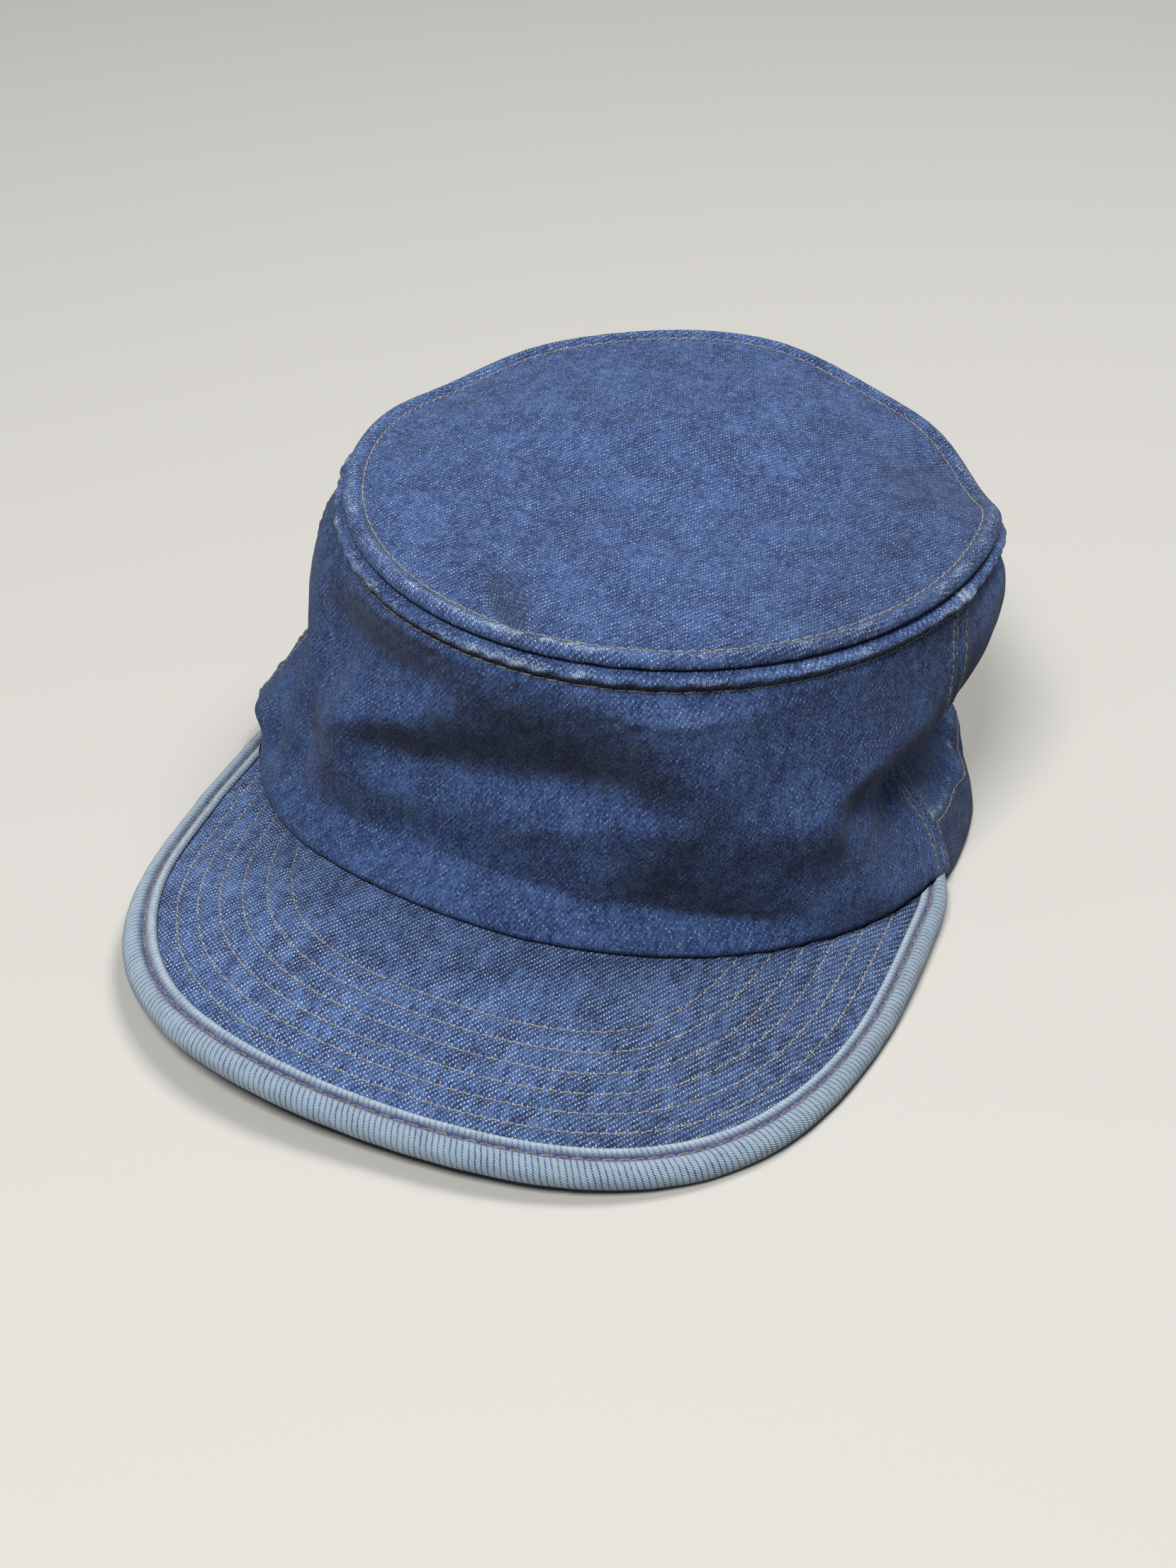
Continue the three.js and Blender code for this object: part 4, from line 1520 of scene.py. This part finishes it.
@dataclass
class Wall:
    """The side wall: a front panel, a rear panel and the band along the rear of the rim."""

    form: CapForm

    # The mesh: rows are for the whole height, and draw together towards the top
    front_columns: int = 300
    back_columns: int = 360
    rows: int = 105
    fewest_rows: int = 12
    crowding: float = 1.25

    # The gap left at the seams, and the rise of the upper edge
    seam_gap: float = 0.12
    top_rise: float = 0.996

    # Worn strips: the roll and its gathers below the top seam, the side seams, the band's edge
    roll_strip: Strip = Strip(2.2, 1.6)
    roll_wear: tuple[float, float] = (0.2, 0.6)
    gather_strip: Strip = Strip(9, 3.5, 0.12)
    seam_strip: Strip = Strip(1.1, 1.0, 0.6)
    band_strip: Strip = Strip(0.9, 0.8, 0.75)

    # Painted shade, where the cloth is darker: on faces that look down, below the top roll in front, on the
    # band
    facing_down_shade: tuple[float, float] = (-0.35, 0.3)
    dark_from: tuple[float, float] = (6, 9)
    dark_to: tuple[float, float] = (13, 22)
    dark_front: Strip = Strip(2, 48, 0.45)
    band_dark: float = 0.6
    band_dark_from: tuple[float, float] = (3, 6)
    band_dark_to: float = 0.17

    # The top row of stitches below the roll, and the rises of the rows beside the side seams
    row_down: float = 0.8
    side_rows: tuple[float, float] = (0.02, 0.93)

    def build(self, shop: Workshop, finishes: Finishes) -> list[bpy.types.Object]:
        """Builds and dresses the three pieces of the wall and their stitches."""
        pieces = []
        for panel in self._panels():
            piece = shop.piece(panel.node + "_cloth", self._sheet(panel), [finishes.wall, finishes.reverse])
            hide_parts(panel.node)
            pieces.append(piece)
        threads = shop.piece("wall_stitches", Stitching().skin(self._lines(), 31), [finishes.thread])
        return [*pieces, threads]

    def _panels(self) -> tuple[Panel, ...]:
        """The three pieces, from the front."""
        band_top = self.form.band_top
        above_band = band_top + self.seam_gap / self.form.wall_height
        return (
            Panel("front_panel", False, 0, self.top_rise, (0.250, 0.082)),
            Panel("back_panel", True, above_band, self.top_rise, (0.320, 0.069)),
            Panel("back_band", True, 0, band_top, (0.320, 0.021)),
        )

    def _sheet(self, panel: Panel) -> Skin:
        """The skin of one piece, with its masks."""
        form = self.form
        angle, rise = self._grid(panel)
        outer = form.wall(angle, rise)
        inner = form.wall(angle, rise, form.cloth)
        steps = np.linalg.norm(np.diff(outer, axis=1), axis=-1)
        up_cloth = panel.low * form.wall_height + np.pad(np.cumsum(steps, axis=1), ((0, 0), (1, 0)))
        cloth = np.stack([angle * form.length_per_degree, up_cloth], -1)
        height = outer[..., 2]
        skin = sheet_skin(outer, inner, cloth, self._wear(angle, rise, height))
        # Painted shade: darker where the outer face looks down, under the top roll in front and on the band
        tilt = unit(np.cross(np.gradient(outer, axis=0), np.gradient(outer, axis=1)))[..., 2]
        painted_shade = np.maximum(1 - smooth(tilt, *self.facing_down_shade), self._painted_shade_bands(angle, rise, height))
        skin.painted_shade_and_marks = np.zeros(len(skin.points))
        skin.painted_shade_and_marks[: painted_shade.size] = painted_shade.ravel()
        return skin

    def _grid(self, panel: Panel) -> tuple[Array, Array]:
        """The angle and rise of each vertex of one piece, columns by rows."""
        form = self.form
        columns = self.back_columns if panel.behind else self.front_columns
        rows = max(int(self.rows * (panel.high - panel.low)), self.fewest_rows)
        up = np.linspace(0, 1, rows)
        if panel.high > form.band_top:
            up = 1 - (1 - up) ** self.crowding
        rise = np.broadcast_to(mix(panel.low, panel.high, up), (columns, rows))
        seam = form.side_seam_angle(rise)
        half = self.seam_gap / 2 / form.length_per_degree
        start = seam + half if panel.behind else half - seam
        end = 360 - seam - half if panel.behind else seam - half
        return mix(start, end, np.linspace(0, 1, columns)[:, None]), rise

    def _painted_shade_bands(self, angle: Array, rise: Array, height: Array) -> Array:
        """Painted shade on the wall: darker under the top roll in front, and on the band."""
        form = self.form
        below = form.below_seam(angle, height)
        under = smooth(below, *self.dark_from) * (1 - smooth(below, *self.dark_to))
        under = under * self.dark_front.at(signed(angle))
        behind = smooth(form.from_side_seam(angle, rise), *self.band_dark_from)
        band = self.band_dark * behind * (1 - smooth(rise, self.band_dark_to, form.band_top))
        return np.clip(under + band, 0, 1)

    def _wear(self, angle: Array, rise: Array, height: Array) -> Array:
        """Where the wall has worn pale: along its seams and the gathers of the top seam."""
        form = self.form
        below = form.below_seam(angle, height)
        gather = np.clip(form.pucker.at(angle, below), 0, 1)
        least, more = self.roll_wear
        roll = self.roll_strip.at(below) * (least + more * form.rubbed(angle, below) * (0.5 + 0.5 * gather))
        under = self.gather_strip.at(below) * gather
        from_seam = form.from_side_seam(angle, rise)
        rough = 0.5 + 0.5 * form.fine_swells.at(angle * 2.1, height * 0.6)
        side = self.seam_strip.at(np.abs(from_seam)) * rough
        down = (form.band_top - rise) * form.wall_height
        band = self.band_strip.at(down) * rough * smooth(from_seam, 0, 2)
        return np.clip(roll + under + side + band, 0, 1)

    def _line(self, angle: Array, rise: Array) -> Seamline:
        """The line on the wall through the given places."""
        form = self.form
        across = form.wall(angle + READ_TURN, rise) - form.wall(angle - READ_TURN, rise)
        upper = np.minimum(rise + READ_RISE, 0.99)
        upward = form.wall(angle, upper) - form.wall(angle, rise - READ_RISE)
        return Seamline(form.wall(angle, rise), unit(np.cross(across, upward)))

    def _lines(self) -> list[Seamline]:
        """The rows of stitches: round the top, beside both side seams and under the band's edge."""
        form = self.form
        around = np.linspace(-180, 180, 1400)
        tall = form.seam_point(around)[..., 2] - form.rim_height(around, 0)
        lines = [self._line(around, 1 - (form.roll_height + self.row_down) / tall)]
        up = np.linspace(*self.side_rows, 260)
        offset = form.lap / 2 / form.length_per_degree
        for side in (-1, 1):
            for shift in (-offset, offset):
                lines.append(self._line(side * (form.side_seam_angle(up) + shift), up))
        start = form.side_seam_bottom + offset
        along = np.linspace(start, 360 - start, 700)
        band_row = form.band_top - form.band_row_down / form.wall_height
        lines.append(self._line(along, np.full(len(along), band_row)))
        return lines


TOP_SECTION = np.array(
    [
        (64, 1.4), (46, 1.3), (30, 1.0), (16, 0.6),
        (7.5, 0.2), (1.6, 0.2), (0.0, 1.0), (0.3, 2.5),
        (1.8, 3.4), (3.6, 3.0), (5.0, 2.2), (7.5, 2.4),
        (16, 2.8), (30, 3.2), (46, 3.5), (64, 3.6),
    ]
)


@dataclass
class RoundTop:
    """The round top panel with the puffy roll of its seam, by the distance in from that seam."""

    form: CapForm

    # The mesh: vertices round the seam, and spacing across the roll and beyond it
    around: int = 560
    fine: float = 0.4
    coarse: float = 1.6
    roll_end: float = 8.0

    # The row of stitches, the loose cloth beyond it and the crease
    stitch_in: float = 5.0
    loose_from: tuple[float, float] = (5, 20)
    crease_from: tuple[float, float] = (3, 9)

    # The gathers on the roll, and how far they reach beyond the stitches
    gathered: Strip = Strip(2.2, 1.8, 0.28)
    ripple_fade: float = 8.0

    # Worn strips: the roll, and the gathers beyond it
    roll_strip: Strip = Strip(2.3, 1.7)
    roll_wear: tuple[float, float] = (0.2, 0.7)
    gather_strip: Strip = Strip(11, 5, 0.14)

    # Painted shade, where the cloth is darker: the crease, a patch beside it and the wearer's left
    crease_dark: float = 0.8
    patch_dark: float = 0.2
    side_painted_shade: float = 0.36
    side_dark_from: tuple[float, float] = (30, 72)

    # Worked out: the section's distances in and heights, and its place on the seam itself
    section: Array = field(init=False)
    outer_from: int = field(init=False)

    def __post_init__(self) -> None:
        """Works out the section, from the middle of the underside over the seam to the top."""
        line = through(TOP_SECTION, self.fine)
        keep = [0]
        for index in range(1, len(line)):
            wanted = self.fine if line[index, 0] < self.roll_end else self.coarse
            if np.linalg.norm(line[index] - line[keep[-1]]) >= wanted * 0.98:
                keep.append(index)
        self.section = line[keep]
        self.outer_from = int(np.argmin(self.section[:, 0]))

    @property
    def mean_radius(self) -> float:
        """The seam's mean radius, which turns a distance in from it into a share."""
        return (self.form.seam_half_width + self.form.seam_front) / 2

    def surface(self, angle: Array, inward: Array, up: Array) -> Array:
        """A place on the round top at a distance in from the seam and a height of its section."""
        form = self.form
        place = form.seam_point(angle, 1 - inward / self.mean_radius)
        x, y = place[..., 0], place[..., 1]
        gather = form.pucker.at(angle, -inward)
        loose = smooth(inward, *self.loose_from)
        crumple = form.crumple * form.swells.at(x, y) + form.fine_crumple * form.fine_swells.at(x, y)
        swell = loose * (sum(row.height(x, y) for row in DENTS) + crumple)
        swell = swell + CREASE.height(x, y) * smooth(inward, *self.crease_from)
        beyond = np.maximum(inward - self.stitch_in, 0)
        fading = np.exp(-beyond / self.ripple_fade) * smooth(beyond, 0, form.ripple_start)
        place[..., 2] += up + swell + gather * (self.gathered.at(inward) + form.ripple * fading)
        return place

    def build(self, shop: Workshop, finishes: Finishes) -> list[bpy.types.Object]:
        """Builds and dresses the top and its row of stitches."""
        piece = shop.piece("crown_top_cloth", self._skin(), [finishes.top, finishes.reverse])
        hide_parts("crown_top")
        threads = shop.piece("crown_stitches", Stitching().skin([self._line()], 37), [finishes.thread])
        return [piece, threads]

    def _skin(self) -> Skin:
        """The skin of the top: rings of vertices along the section, and the two middles."""
        angle = 360 * np.arange(self.around)[None] / self.around
        inward = self.section[:, :1]
        up = self.section[:, 1:]
        rings = self.surface(angle, inward, up)
        middle = self.surface(np.zeros(1), np.full(1, self.mean_radius), up[-1])
        low_middle = middle + (0, 0, up[0, 0] - up[-1, 0])
        points = np.vstack([rings.reshape(-1, 3), low_middle, middle])
        outside = np.arange(len(self.section))[:, None] >= self.outer_from - 1
        wear = np.append(np.where(outside, self._wear(angle, inward), 0), [0, 0])
        sides = [Side.OUTSIDE, Side.OUTSIDE, Side.INSIDE, Side.INSIDE]
        return Skin(points, self._faces(), sides, self._flat(angle), wear, self._painted_shade_top(points))

    def _faces(self) -> list[Array]:
        """The faces of the outside and its middle, then those of the underside and its middle."""
        count = self.around
        rings = len(self.section)
        quads = ring_faces(rings, count)
        below = quads[: self.outer_from - 1].reshape(-1, 4)
        above = quads[self.outer_from - 1 :].reshape(-1, 4)
        step = np.arange(count)
        following = (step + 1) % count
        last = count * (rings - 1)
        low_fan = np.stack([step, np.full(count, count * rings), following], 1)
        top_fan = np.stack([last + step, last + following, np.full(count, count * rings + 1)], 1)
        return [above, top_fan, below, low_fan]

    def _flat(self, angle: Array) -> Array:
        """The place of each vertex on the flat cloth, measured out from the middle along the section."""
        steps = np.linalg.norm(np.diff(self.section, axis=0), axis=1)
        lengths = np.append(0, np.cumsum(steps))
        end = self.section[0, 0]
        under = np.arange(len(lengths)) < self.outer_from
        inward = end - np.where(under, lengths, lengths[-1] - lengths)
        places = self.form.seam_point(angle, 1 - inward[:, None] / self.mean_radius)[..., :2]
        middle = np.full((2, 2), (self.form.seam_x, self.form.seam_y))
        return np.vstack([places.reshape(-1, 2), middle])

    def _painted_shade_top(self, points: Array) -> Array:
        """Painted shade on the top: darker down in the crease, in a patch beside it, and towards the wearer's
        left.
        """
        x, y = points[:, 0], points[:, 1]
        crease = self.crease_dark * CREASE.near(x, y) + self.patch_dark * DARK_PATCH.near(x, y)
        return np.clip(crease + self.side_painted_shade * smooth(x, *self.side_dark_from), 0, 1)

    def _wear(self, angle: Array, inward: Array) -> Array:
        """Where the top has worn pale: on its roll, and a little on the gathers beyond it."""
        gather = np.clip(self.form.pucker.at(angle, -inward), 0, 1)
        patchy = self.form.rubbed(angle, -inward) * (0.5 + 0.5 * gather)
        least, more = self.roll_wear
        roll = self.roll_strip.at(inward) * (least + more * patchy)
        return np.clip(roll + self.gather_strip.at(inward) * gather, 0, 1)

    def _line(self) -> Seamline:
        """The row of stitches beside the roll."""
        outer = self.section[self.outer_from :]
        up = float(np.interp(self.stitch_in, outer[:, 0], outer[:, 1]))
        angle = np.linspace(0, 360, 1400)
        inward = np.full(len(angle), self.stitch_in)
        across = self.surface(angle + READ_TURN, inward, up) - self.surface(angle - READ_TURN, inward, up)
        nearer, farther = inward - READ_INWARD, inward + READ_INWARD
        inwards = self.surface(angle, farther, up) - self.surface(angle, nearer, up)
        return Seamline(self.surface(angle, inward, up), unit(np.cross(across, inwards)))


@dataclass
class Peak:
    """The stiff peak: a board in denim, with rows of stitches that follow its edge."""

    form: CapForm
    outline: Outline
    columns: int = 230
    rows: int = 110

    # How far in from the binding the rows of stitches lie, and how they draw closer along the sides
    rows_in: tuple[float, ...] = (4.9, 10.3, 15.9, 21.8, 28.0, 34.2)
    left_closer: float = 0.08
    right_closer: float = 0.2
    side_from: tuple[float, float] = (25, 80)

    # The cloth puffs out between the rows and is drawn in at each of them
    puff: float = 0.22
    puff_start: float = 3.0
    puff_end: float = 5.0
    dip: float = 0.32
    dip_width: float = 0.75
    crumple: float = 0.12
    fine_crumple: float = 0.05

    # How worn it is and how far that varies, and painted shade that darkens the wearer's left
    wear: tuple[float, float] = (0.1, 0.1)
    side_painted_shade: float = 0.4
    side_dark_from: tuple[float, float] = (10, 62)

    def build(self, shop: Workshop, finishes: Finishes) -> list[bpy.types.Object]:
        """Builds and dresses the peak and its stitches."""
        piece = shop.piece("peak_cloth", self._skin(), [finishes.peak, finishes.peak])
        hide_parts("peak")
        sewing = Stitching(pale_ends=0.9)
        threads = shop.piece("peak_stitches", sewing.skin(self._lines(), 41), [finishes.thread])
        return [piece, threads]

    def _skin(self) -> Skin:
        """The skin of the board, from the binding to its edge under the wall."""
        form = self.form
        first, last = self._ends()
        share = np.linspace(0, 1, self.columns)
        outer = self.outline.at(mix(first, last, share), np.full(self.columns, form.board_edge))
        rim = np.stack(form.rim_plan(mix(-form.board_end, form.board_end, share), form.under_hem), -1)
        plan = mix(outer[:, None], rim[:, None], np.linspace(0, 1, self.rows)[None, :, None])
        x, y = plan[..., 0], plan[..., 1]
        top = np.stack([x, y, self.height(x, y)], -1)
        bottom = np.stack([x, y, form.peak_top(x, y) - form.board], -1)
        mean, swing = self.wear
        skin = sheet_skin(top, bottom, plan, mean + swing * form.swells.at(x * 3, y * 0.8))
        skin.wear = np.clip(skin.wear, 0, 1)
        # Painted shade: darker towards the wearer's left
        skin.painted_shade_and_marks = self.side_painted_shade * smooth(skin.points[:, 0], *self.side_dark_from)
        return skin

    def _ends(self) -> tuple[float, float]:
        """Where along the outline the board goes in under the wall."""
        end_y = float(self.form.rim_plan(np.array(self.form.board_end))[1])
        ahead = np.nonzero(self.outline.points[:, 1] <= end_y)[0]
        return float(self.outline.lengths[ahead[0]]), float(self.outline.lengths[ahead[-1]])

    def height(self, x: Array, y: Array) -> Array:
        """Height of the stitched top face."""
        form = self.form
        inside = self.outline.inside(x, y) / self._spread(x, y)
        sewn = sum(bell(inside - row, self.dip_width) for row in self.rows_in)
        last = self.rows_in[-1]
        between = smooth(inside, 0, self.puff_start) * (1 - smooth(inside, last, last + self.puff_end))
        swell = self.puff * between * (1 - sewn)
        crumple = self.crumple * form.swells.at(x * 1.6, y * 0.45)
        crumple = crumple + self.fine_crumple * form.fine_swells.at(x, y)
        return form.peak_top(x, y) + swell - self.dip * sewn + crumple

    def _spread(self, x: Array, y: Array) -> Array:
        """How far apart the rows are, as a share: they draw closer along the peak's sides."""
        turn = np.degrees(np.arctan2(x, self.form.peak_y - y))
        left = self.left_closer * smooth(turn, *self.side_from)
        return 1 - left - self.right_closer * smooth(-turn, *self.side_from)

    def _lines(self) -> list[Seamline]:
        """The rows of stitches, each from the wall to the wall."""
        lines = []
        distance = np.linspace(0, self.outline.length, 1600)
        for inside in self.rows_in:
            place = self._row(distance, inside)
            away = self.outline.inside(place[:, 0], place[:, 1])
            wanted = inside * self._spread(place[:, 0], place[:, 1])
            place = place[self._outside_rim(place, 1.0) & (away > wanted - 0.35)]
            x, y = place[:, 0], place[:, 1]
            slope_x = (self.height(x + READ_SLOPE, y) - self.height(x - READ_SLOPE, y)) / (2 * READ_SLOPE)
            slope_y = (self.height(x, y + READ_SLOPE) - self.height(x, y - READ_SLOPE)) / (2 * READ_SLOPE)
            normals = unit(np.stack([-slope_x, -slope_y, np.ones(len(x))], -1))
            lines.append(Seamline(np.stack([x, y, self.height(x, y)], -1), normals))
        return lines

    def _row(self, distance: Array, inside: float) -> Array:
        """Places of one row of stitches, found from the spread at the places themselves."""
        spread = np.ones(len(distance))
        for _ in range(3):
            place = self.outline.straight(distance, -inside * spread)
            spread = self._spread(place[:, 0], place[:, 1])
        return place

    def _outside_rim(self, place: Array, margin: float) -> Array:
        """Whether each place lies outside the wall."""
        form = self.form
        x = (place[:, 0] - form.rim_x) / (form.rim_half_width - margin)
        y = place[:, 1] / (form.rim_front - margin)
        return np.abs(x) ** form.rim_front_power + np.abs(y) ** form.rim_front_power > 1


BINDING_OUTSIDE = np.array(
    [
        (0.0, 0.3), (0.6, 1.4), (1.9, 1.7), (3.4, 0.9),
        (4.7, 1.7), (6.5, 1.4), (8.0, 0.2), (8.6, -1.5),
        (8.2, -3.2), (6.8, -4.4), (4.8, -4.7), (2.2, -4.4),
        (0.0, -3.3),
    ]
)
BINDING_SLOT = np.array([(3.4, -3.3), (3.4, 0.3)])


@dataclass
class Binding:
    """The thick rolled strip round the edge of the peak, with its ridge and its row of stitches."""

    form: CapForm
    outline: Outline

    # Spacing along the edge and across the section
    step: float = 0.55
    spacing: float = 0.55

    # Out from the inner edge: where the peak's own slope ends, and the row of stitches
    seat: float = 3.4
    stitch_out: float = 3.3

    # The gap left at the wall, and the small swells of the roll
    margin: float = 0.1
    swell: float = 0.1
    swell_from: tuple[float, float] = (3.2, 4.5)

    # The worn ridge, the blue of the sewn groove, and the painted shade that turns the underside towards that
    # blue
    ridge: Strip = Strip(1.2, 0.9)
    ridge_wear: tuple[float, float] = (0.2, 0.6)
    groove: Strip = Strip(3.3, 1.1, 1.35)
    groove_blue: tuple[float, float] = (0.55, 0.45)
    under_painted_shade: float = 0.35
    under_from: tuple[float, float] = (2.5, 4.5)

    @property
    def reach(self) -> float:
        """How far the binding stands out from its inner edge."""
        return float(BINDING_OUTSIDE[:, 0].max())

    def surface(self, distance: Array, out: Array, up: Array) -> Array:
        """A place of the section at a distance along the edge."""
        place = self.outline.at(distance, out)
        seat = self.outline.at(distance, np.minimum(out, self.seat))
        height = self.form.peak_top(seat[..., 0], seat[..., 1])
        return np.concatenate([place, (height + up)[..., None]], -1)

    def build(self, shop: Workshop, finishes: Finishes) -> list[bpy.types.Object]:
        """Builds and dresses the binding and its stitches."""
        piece = shop.piece("peak_binding_cloth", self._skin(), [finishes.binding])
        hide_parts("peak_binding")
        sewing = Stitching(pitch=3.3, length=2.85, radius=0.23, lift=0.1)
        threads = shop.piece("binding_stitches", sewing.skin([self._line()], 43), [finishes.brown_thread])
        return [piece, threads]

    def _skin(self) -> Skin:
        """The skin of the strip: its section drawn along the edge, closed at both ends."""
        section = np.vstack([through(BINDING_OUTSIDE, self.spacing), BINDING_SLOT])
        across = np.append(0, np.cumsum(np.linalg.norm(np.diff(section, axis=0), axis=1)))
        count = len(section)
        steps = int(self.outline.length / self.step)
        start, end = self._cut(section[:, 0])
        distance = mix(start[None], end[None], np.linspace(0, 1, steps)[:, None])
        out = np.broadcast_to(section[:, 0], distance.shape)
        up = np.broadcast_to(section[:, 1], distance.shape)
        swell = self.swell * self.form.fine_swells.at(distance, up * 2) * smooth(out, *self.swell_from)
        points = self.surface(distance, out + swell, up + 0.5 * swell)
        near = np.arange(steps - 1) * count
        closing = np.stack([near, near + count, near + 2 * count - 1, near + count - 1], 1)
        first = np.arange(count)[None]
        faces = [grid_faces(steps, count, flipped=True), closing, first, first[:, ::-1] + (steps - 1) * count]
        cloth = np.stack([distance, np.broadcast_to(across, distance.shape)], -1).reshape(-1, 2)
        wear, painted_shade_and_marks = self._masks(distance, out, up)
        return Skin(points.reshape(-1, 3), faces, [Side.OUTSIDE] * 4, cloth, wear.ravel(), painted_shade_and_marks.ravel())

    def _cut(self, outs: Array) -> tuple[Array, Array]:
        """Where along the edge each line of the section meets the wall, at both ends."""
        form = self.form
        distance = self.outline.lengths
        middle = len(distance) // 2
        starts = []
        ends = []
        for out in outs:
            place = self.outline.at(distance, np.full(len(distance), out))
            half_depth = np.where(place[:, 1] < 0, form.rim_front, form.rim_back) + self.margin
            x = (place[:, 0] - form.rim_x) / (form.rim_half_width + self.margin)
            y = place[:, 1] / half_depth
            clear = np.abs(x) ** form.rim_front_power + np.abs(y) ** form.rim_front_power > 1
            shown = np.nonzero(clear & (place[:, 1] < form.peak_y + form.side_length - 0.5))[0]
            blocked = np.nonzero(~clear)[0]
            low = blocked[blocked < middle]
            high = blocked[blocked > middle]
            starts.append(distance[low[-1] + 1] if len(low) else distance[shown[0]])
            ends.append(distance[high[0] - 1] if len(high) else distance[shown[-1]])
        return np.array(starts), np.array(ends)

    def _masks(self, distance: Array, out: Array, up: Array) -> tuple[Array, Array]:
        """Where the binding is worn white, where the blue of the groove shows, and painted shade on its
        underside.
        """
        rough = 0.5 + 0.5 * self.form.fine_swells.at(distance * 2, out * 5)
        on_top = up > 0
        least, more = self.ridge_wear
        ridge = self.ridge.at(out) * on_top * (least + more * rough)
        least, more = self.groove_blue
        groove = self.groove.at(out) * on_top * (least + more * rough)
        # Painted shade: the underside darkens towards the groove's blue
        under = self.under_painted_shade * smooth(-up, *self.under_from)
        return np.clip(ridge, 0, 1), np.clip(groove + under, 0, 1)

    def _line(self) -> Seamline:
        """The row of stitches in the binding's groove."""
        outside = through(BINDING_OUTSIDE, 0.1)
        top = outside[: int(np.argmax(outside[:, 0] > self.stitch_out + 0.5))]
        up = float(np.interp(self.stitch_out, top[:, 0], top[:, 1]))
        start, end = self._cut(np.array([self.stitch_out]))
        distance = np.linspace(start[0], end[0], 1200)
        flat = np.zeros(len(distance))
        points = self.surface(distance, flat + self.stitch_out, flat + up)
        normals = np.broadcast_to((0.0, 0.0, 1.0), points.shape)
        return Seamline(points, normals)


@dataclass(frozen=True)
class Viewpoint:
    """The photograph's viewing angle, in the cap's own frame."""

    # Degrees round towards the wearer's left, above the floor, and that the picture leans
    azimuth: float = 20.4
    elevation: float = 35.8
    roll: float = 1.44

    # From the aim to the eye, and the place on the floor in the picture's middle
    distance: float = 620.0
    aim: tuple[float, float, float] = (-6.89, -8.05, 0.0)

    # Focal length and longer side in pixels of the picture, and the sensor along that side
    focal_pixels: float = 3281.6
    picture_height: float = 2212.0
    sensor: float = 36.0

    def camera(self, shop: Workshop) -> bpy.types.Object:
        """Makes the scene's camera."""
        a, e, r = np.radians([self.azimuth, self.elevation, self.roll])
        back = np.array([np.sin(a) * np.cos(e), -np.cos(a) * np.cos(e), np.sin(e)])
        level = np.array([np.cos(a), np.sin(a), 0])
        upright = np.cross(back, level)
        right = level * np.cos(r) + upright * np.sin(r)
        up = -level * np.sin(r) + upright * np.cos(r)
        data = bpy.data.cameras.new("camera")
        data.sensor_width = self.sensor
        data.lens = self.focal_pixels / self.picture_height * self.sensor
        data.clip_start = 0.05
        data.clip_end = 20
        camera = bpy.data.objects.new("camera", data)
        eye = shop.place(np.array(self.aim) + back * self.distance)
        turn = Matrix([right, up, back]).transposed().to_4x4()
        camera.matrix_world = Matrix.Translation(Vector(eye)) @ turn
        bpy.context.scene.collection.objects.link(camera)
        bpy.context.scene.camera = camera
        return camera


@dataclass(frozen=True)
class Lamp:
    """A soft lamp that points at the cap. Its place and size are in metres, its power in watts."""

    name: str
    place: tuple[float, float, float]
    power: float
    size: float
    colour: tuple[float, float, float] = (1.0, 1.0, 1.0)

    def build(self) -> None:
        """Adds the lamp to the scene."""
        data = bpy.data.lights.new(self.name, "AREA")
        data.energy = self.power
        data.size = self.size
        data.color = self.colour
        lamp = bpy.data.objects.new(self.name, data)
        lamp.location = self.place
        lamp.rotation_euler = (-Vector(self.place)).to_track_quat("-Z", "Y").to_euler()
        bpy.context.scene.collection.objects.link(lamp)


@dataclass
class Studio:
    """A plain pale floor, of half a side in metres, under plain soft light."""

    floor_half: float = 4.0
    sky: Colour = (0.86, 0.92, 1.0, 1.0)
    sky_strength: float = 0.22
    lamps: tuple[Lamp, ...] = (
        Lamp("key", (0.3, 0.45, 1.5), 32, 0.6),
        Lamp("front", (0.0, -0.95, 1.5), 53, 0.5),
    )

    def build(self) -> None:
        """Builds the floor, the lamps and the surrounding light."""
        scene = bpy.context.scene
        scene.view_settings.view_transform = "Standard"
        half = self.floor_half
        mesh = bpy.data.meshes.new("floor")
        corners = [(-half, -half, 0), (half, -half, 0), (half, half, 0), (-half, half, 0)]
        mesh.from_pydata(corners, [], [(0, 1, 2, 3)])
        mesh.materials.append(FloorFinish().material())
        floor = bpy.data.objects.new("floor", mesh)
        scene.collection.objects.link(floor)
        for lamp in self.lamps:
            lamp.build()
        world = bpy.data.worlds.new("studio")
        world.use_nodes = True
        sky = world.node_tree.nodes["Background"]
        sky.inputs["Color"].default_value = self.sky
        sky.inputs["Strength"].default_value = self.sky_strength
        scene.world = world


def main() -> None:
    """Builds the cap's pieces in order and sets the studio round them."""
    logging.basicConfig(level=logging.INFO, format="%(name)s %(message)s")
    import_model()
    form = CapForm()
    outline = Outline(form)
    binding = Binding(form, outline)
    shop = Workshop.from_frame(form, binding.reach)
    Viewpoint().camera(shop)
    finishes = Finishes()
    Wall(form).build(shop, finishes)
    RoundTop(form).build(shop, finishes)
    Peak(form, outline).build(shop, finishes)
    binding.build(shop, finishes)
    Studio().build()


if __name__ == "__main__":
    main()
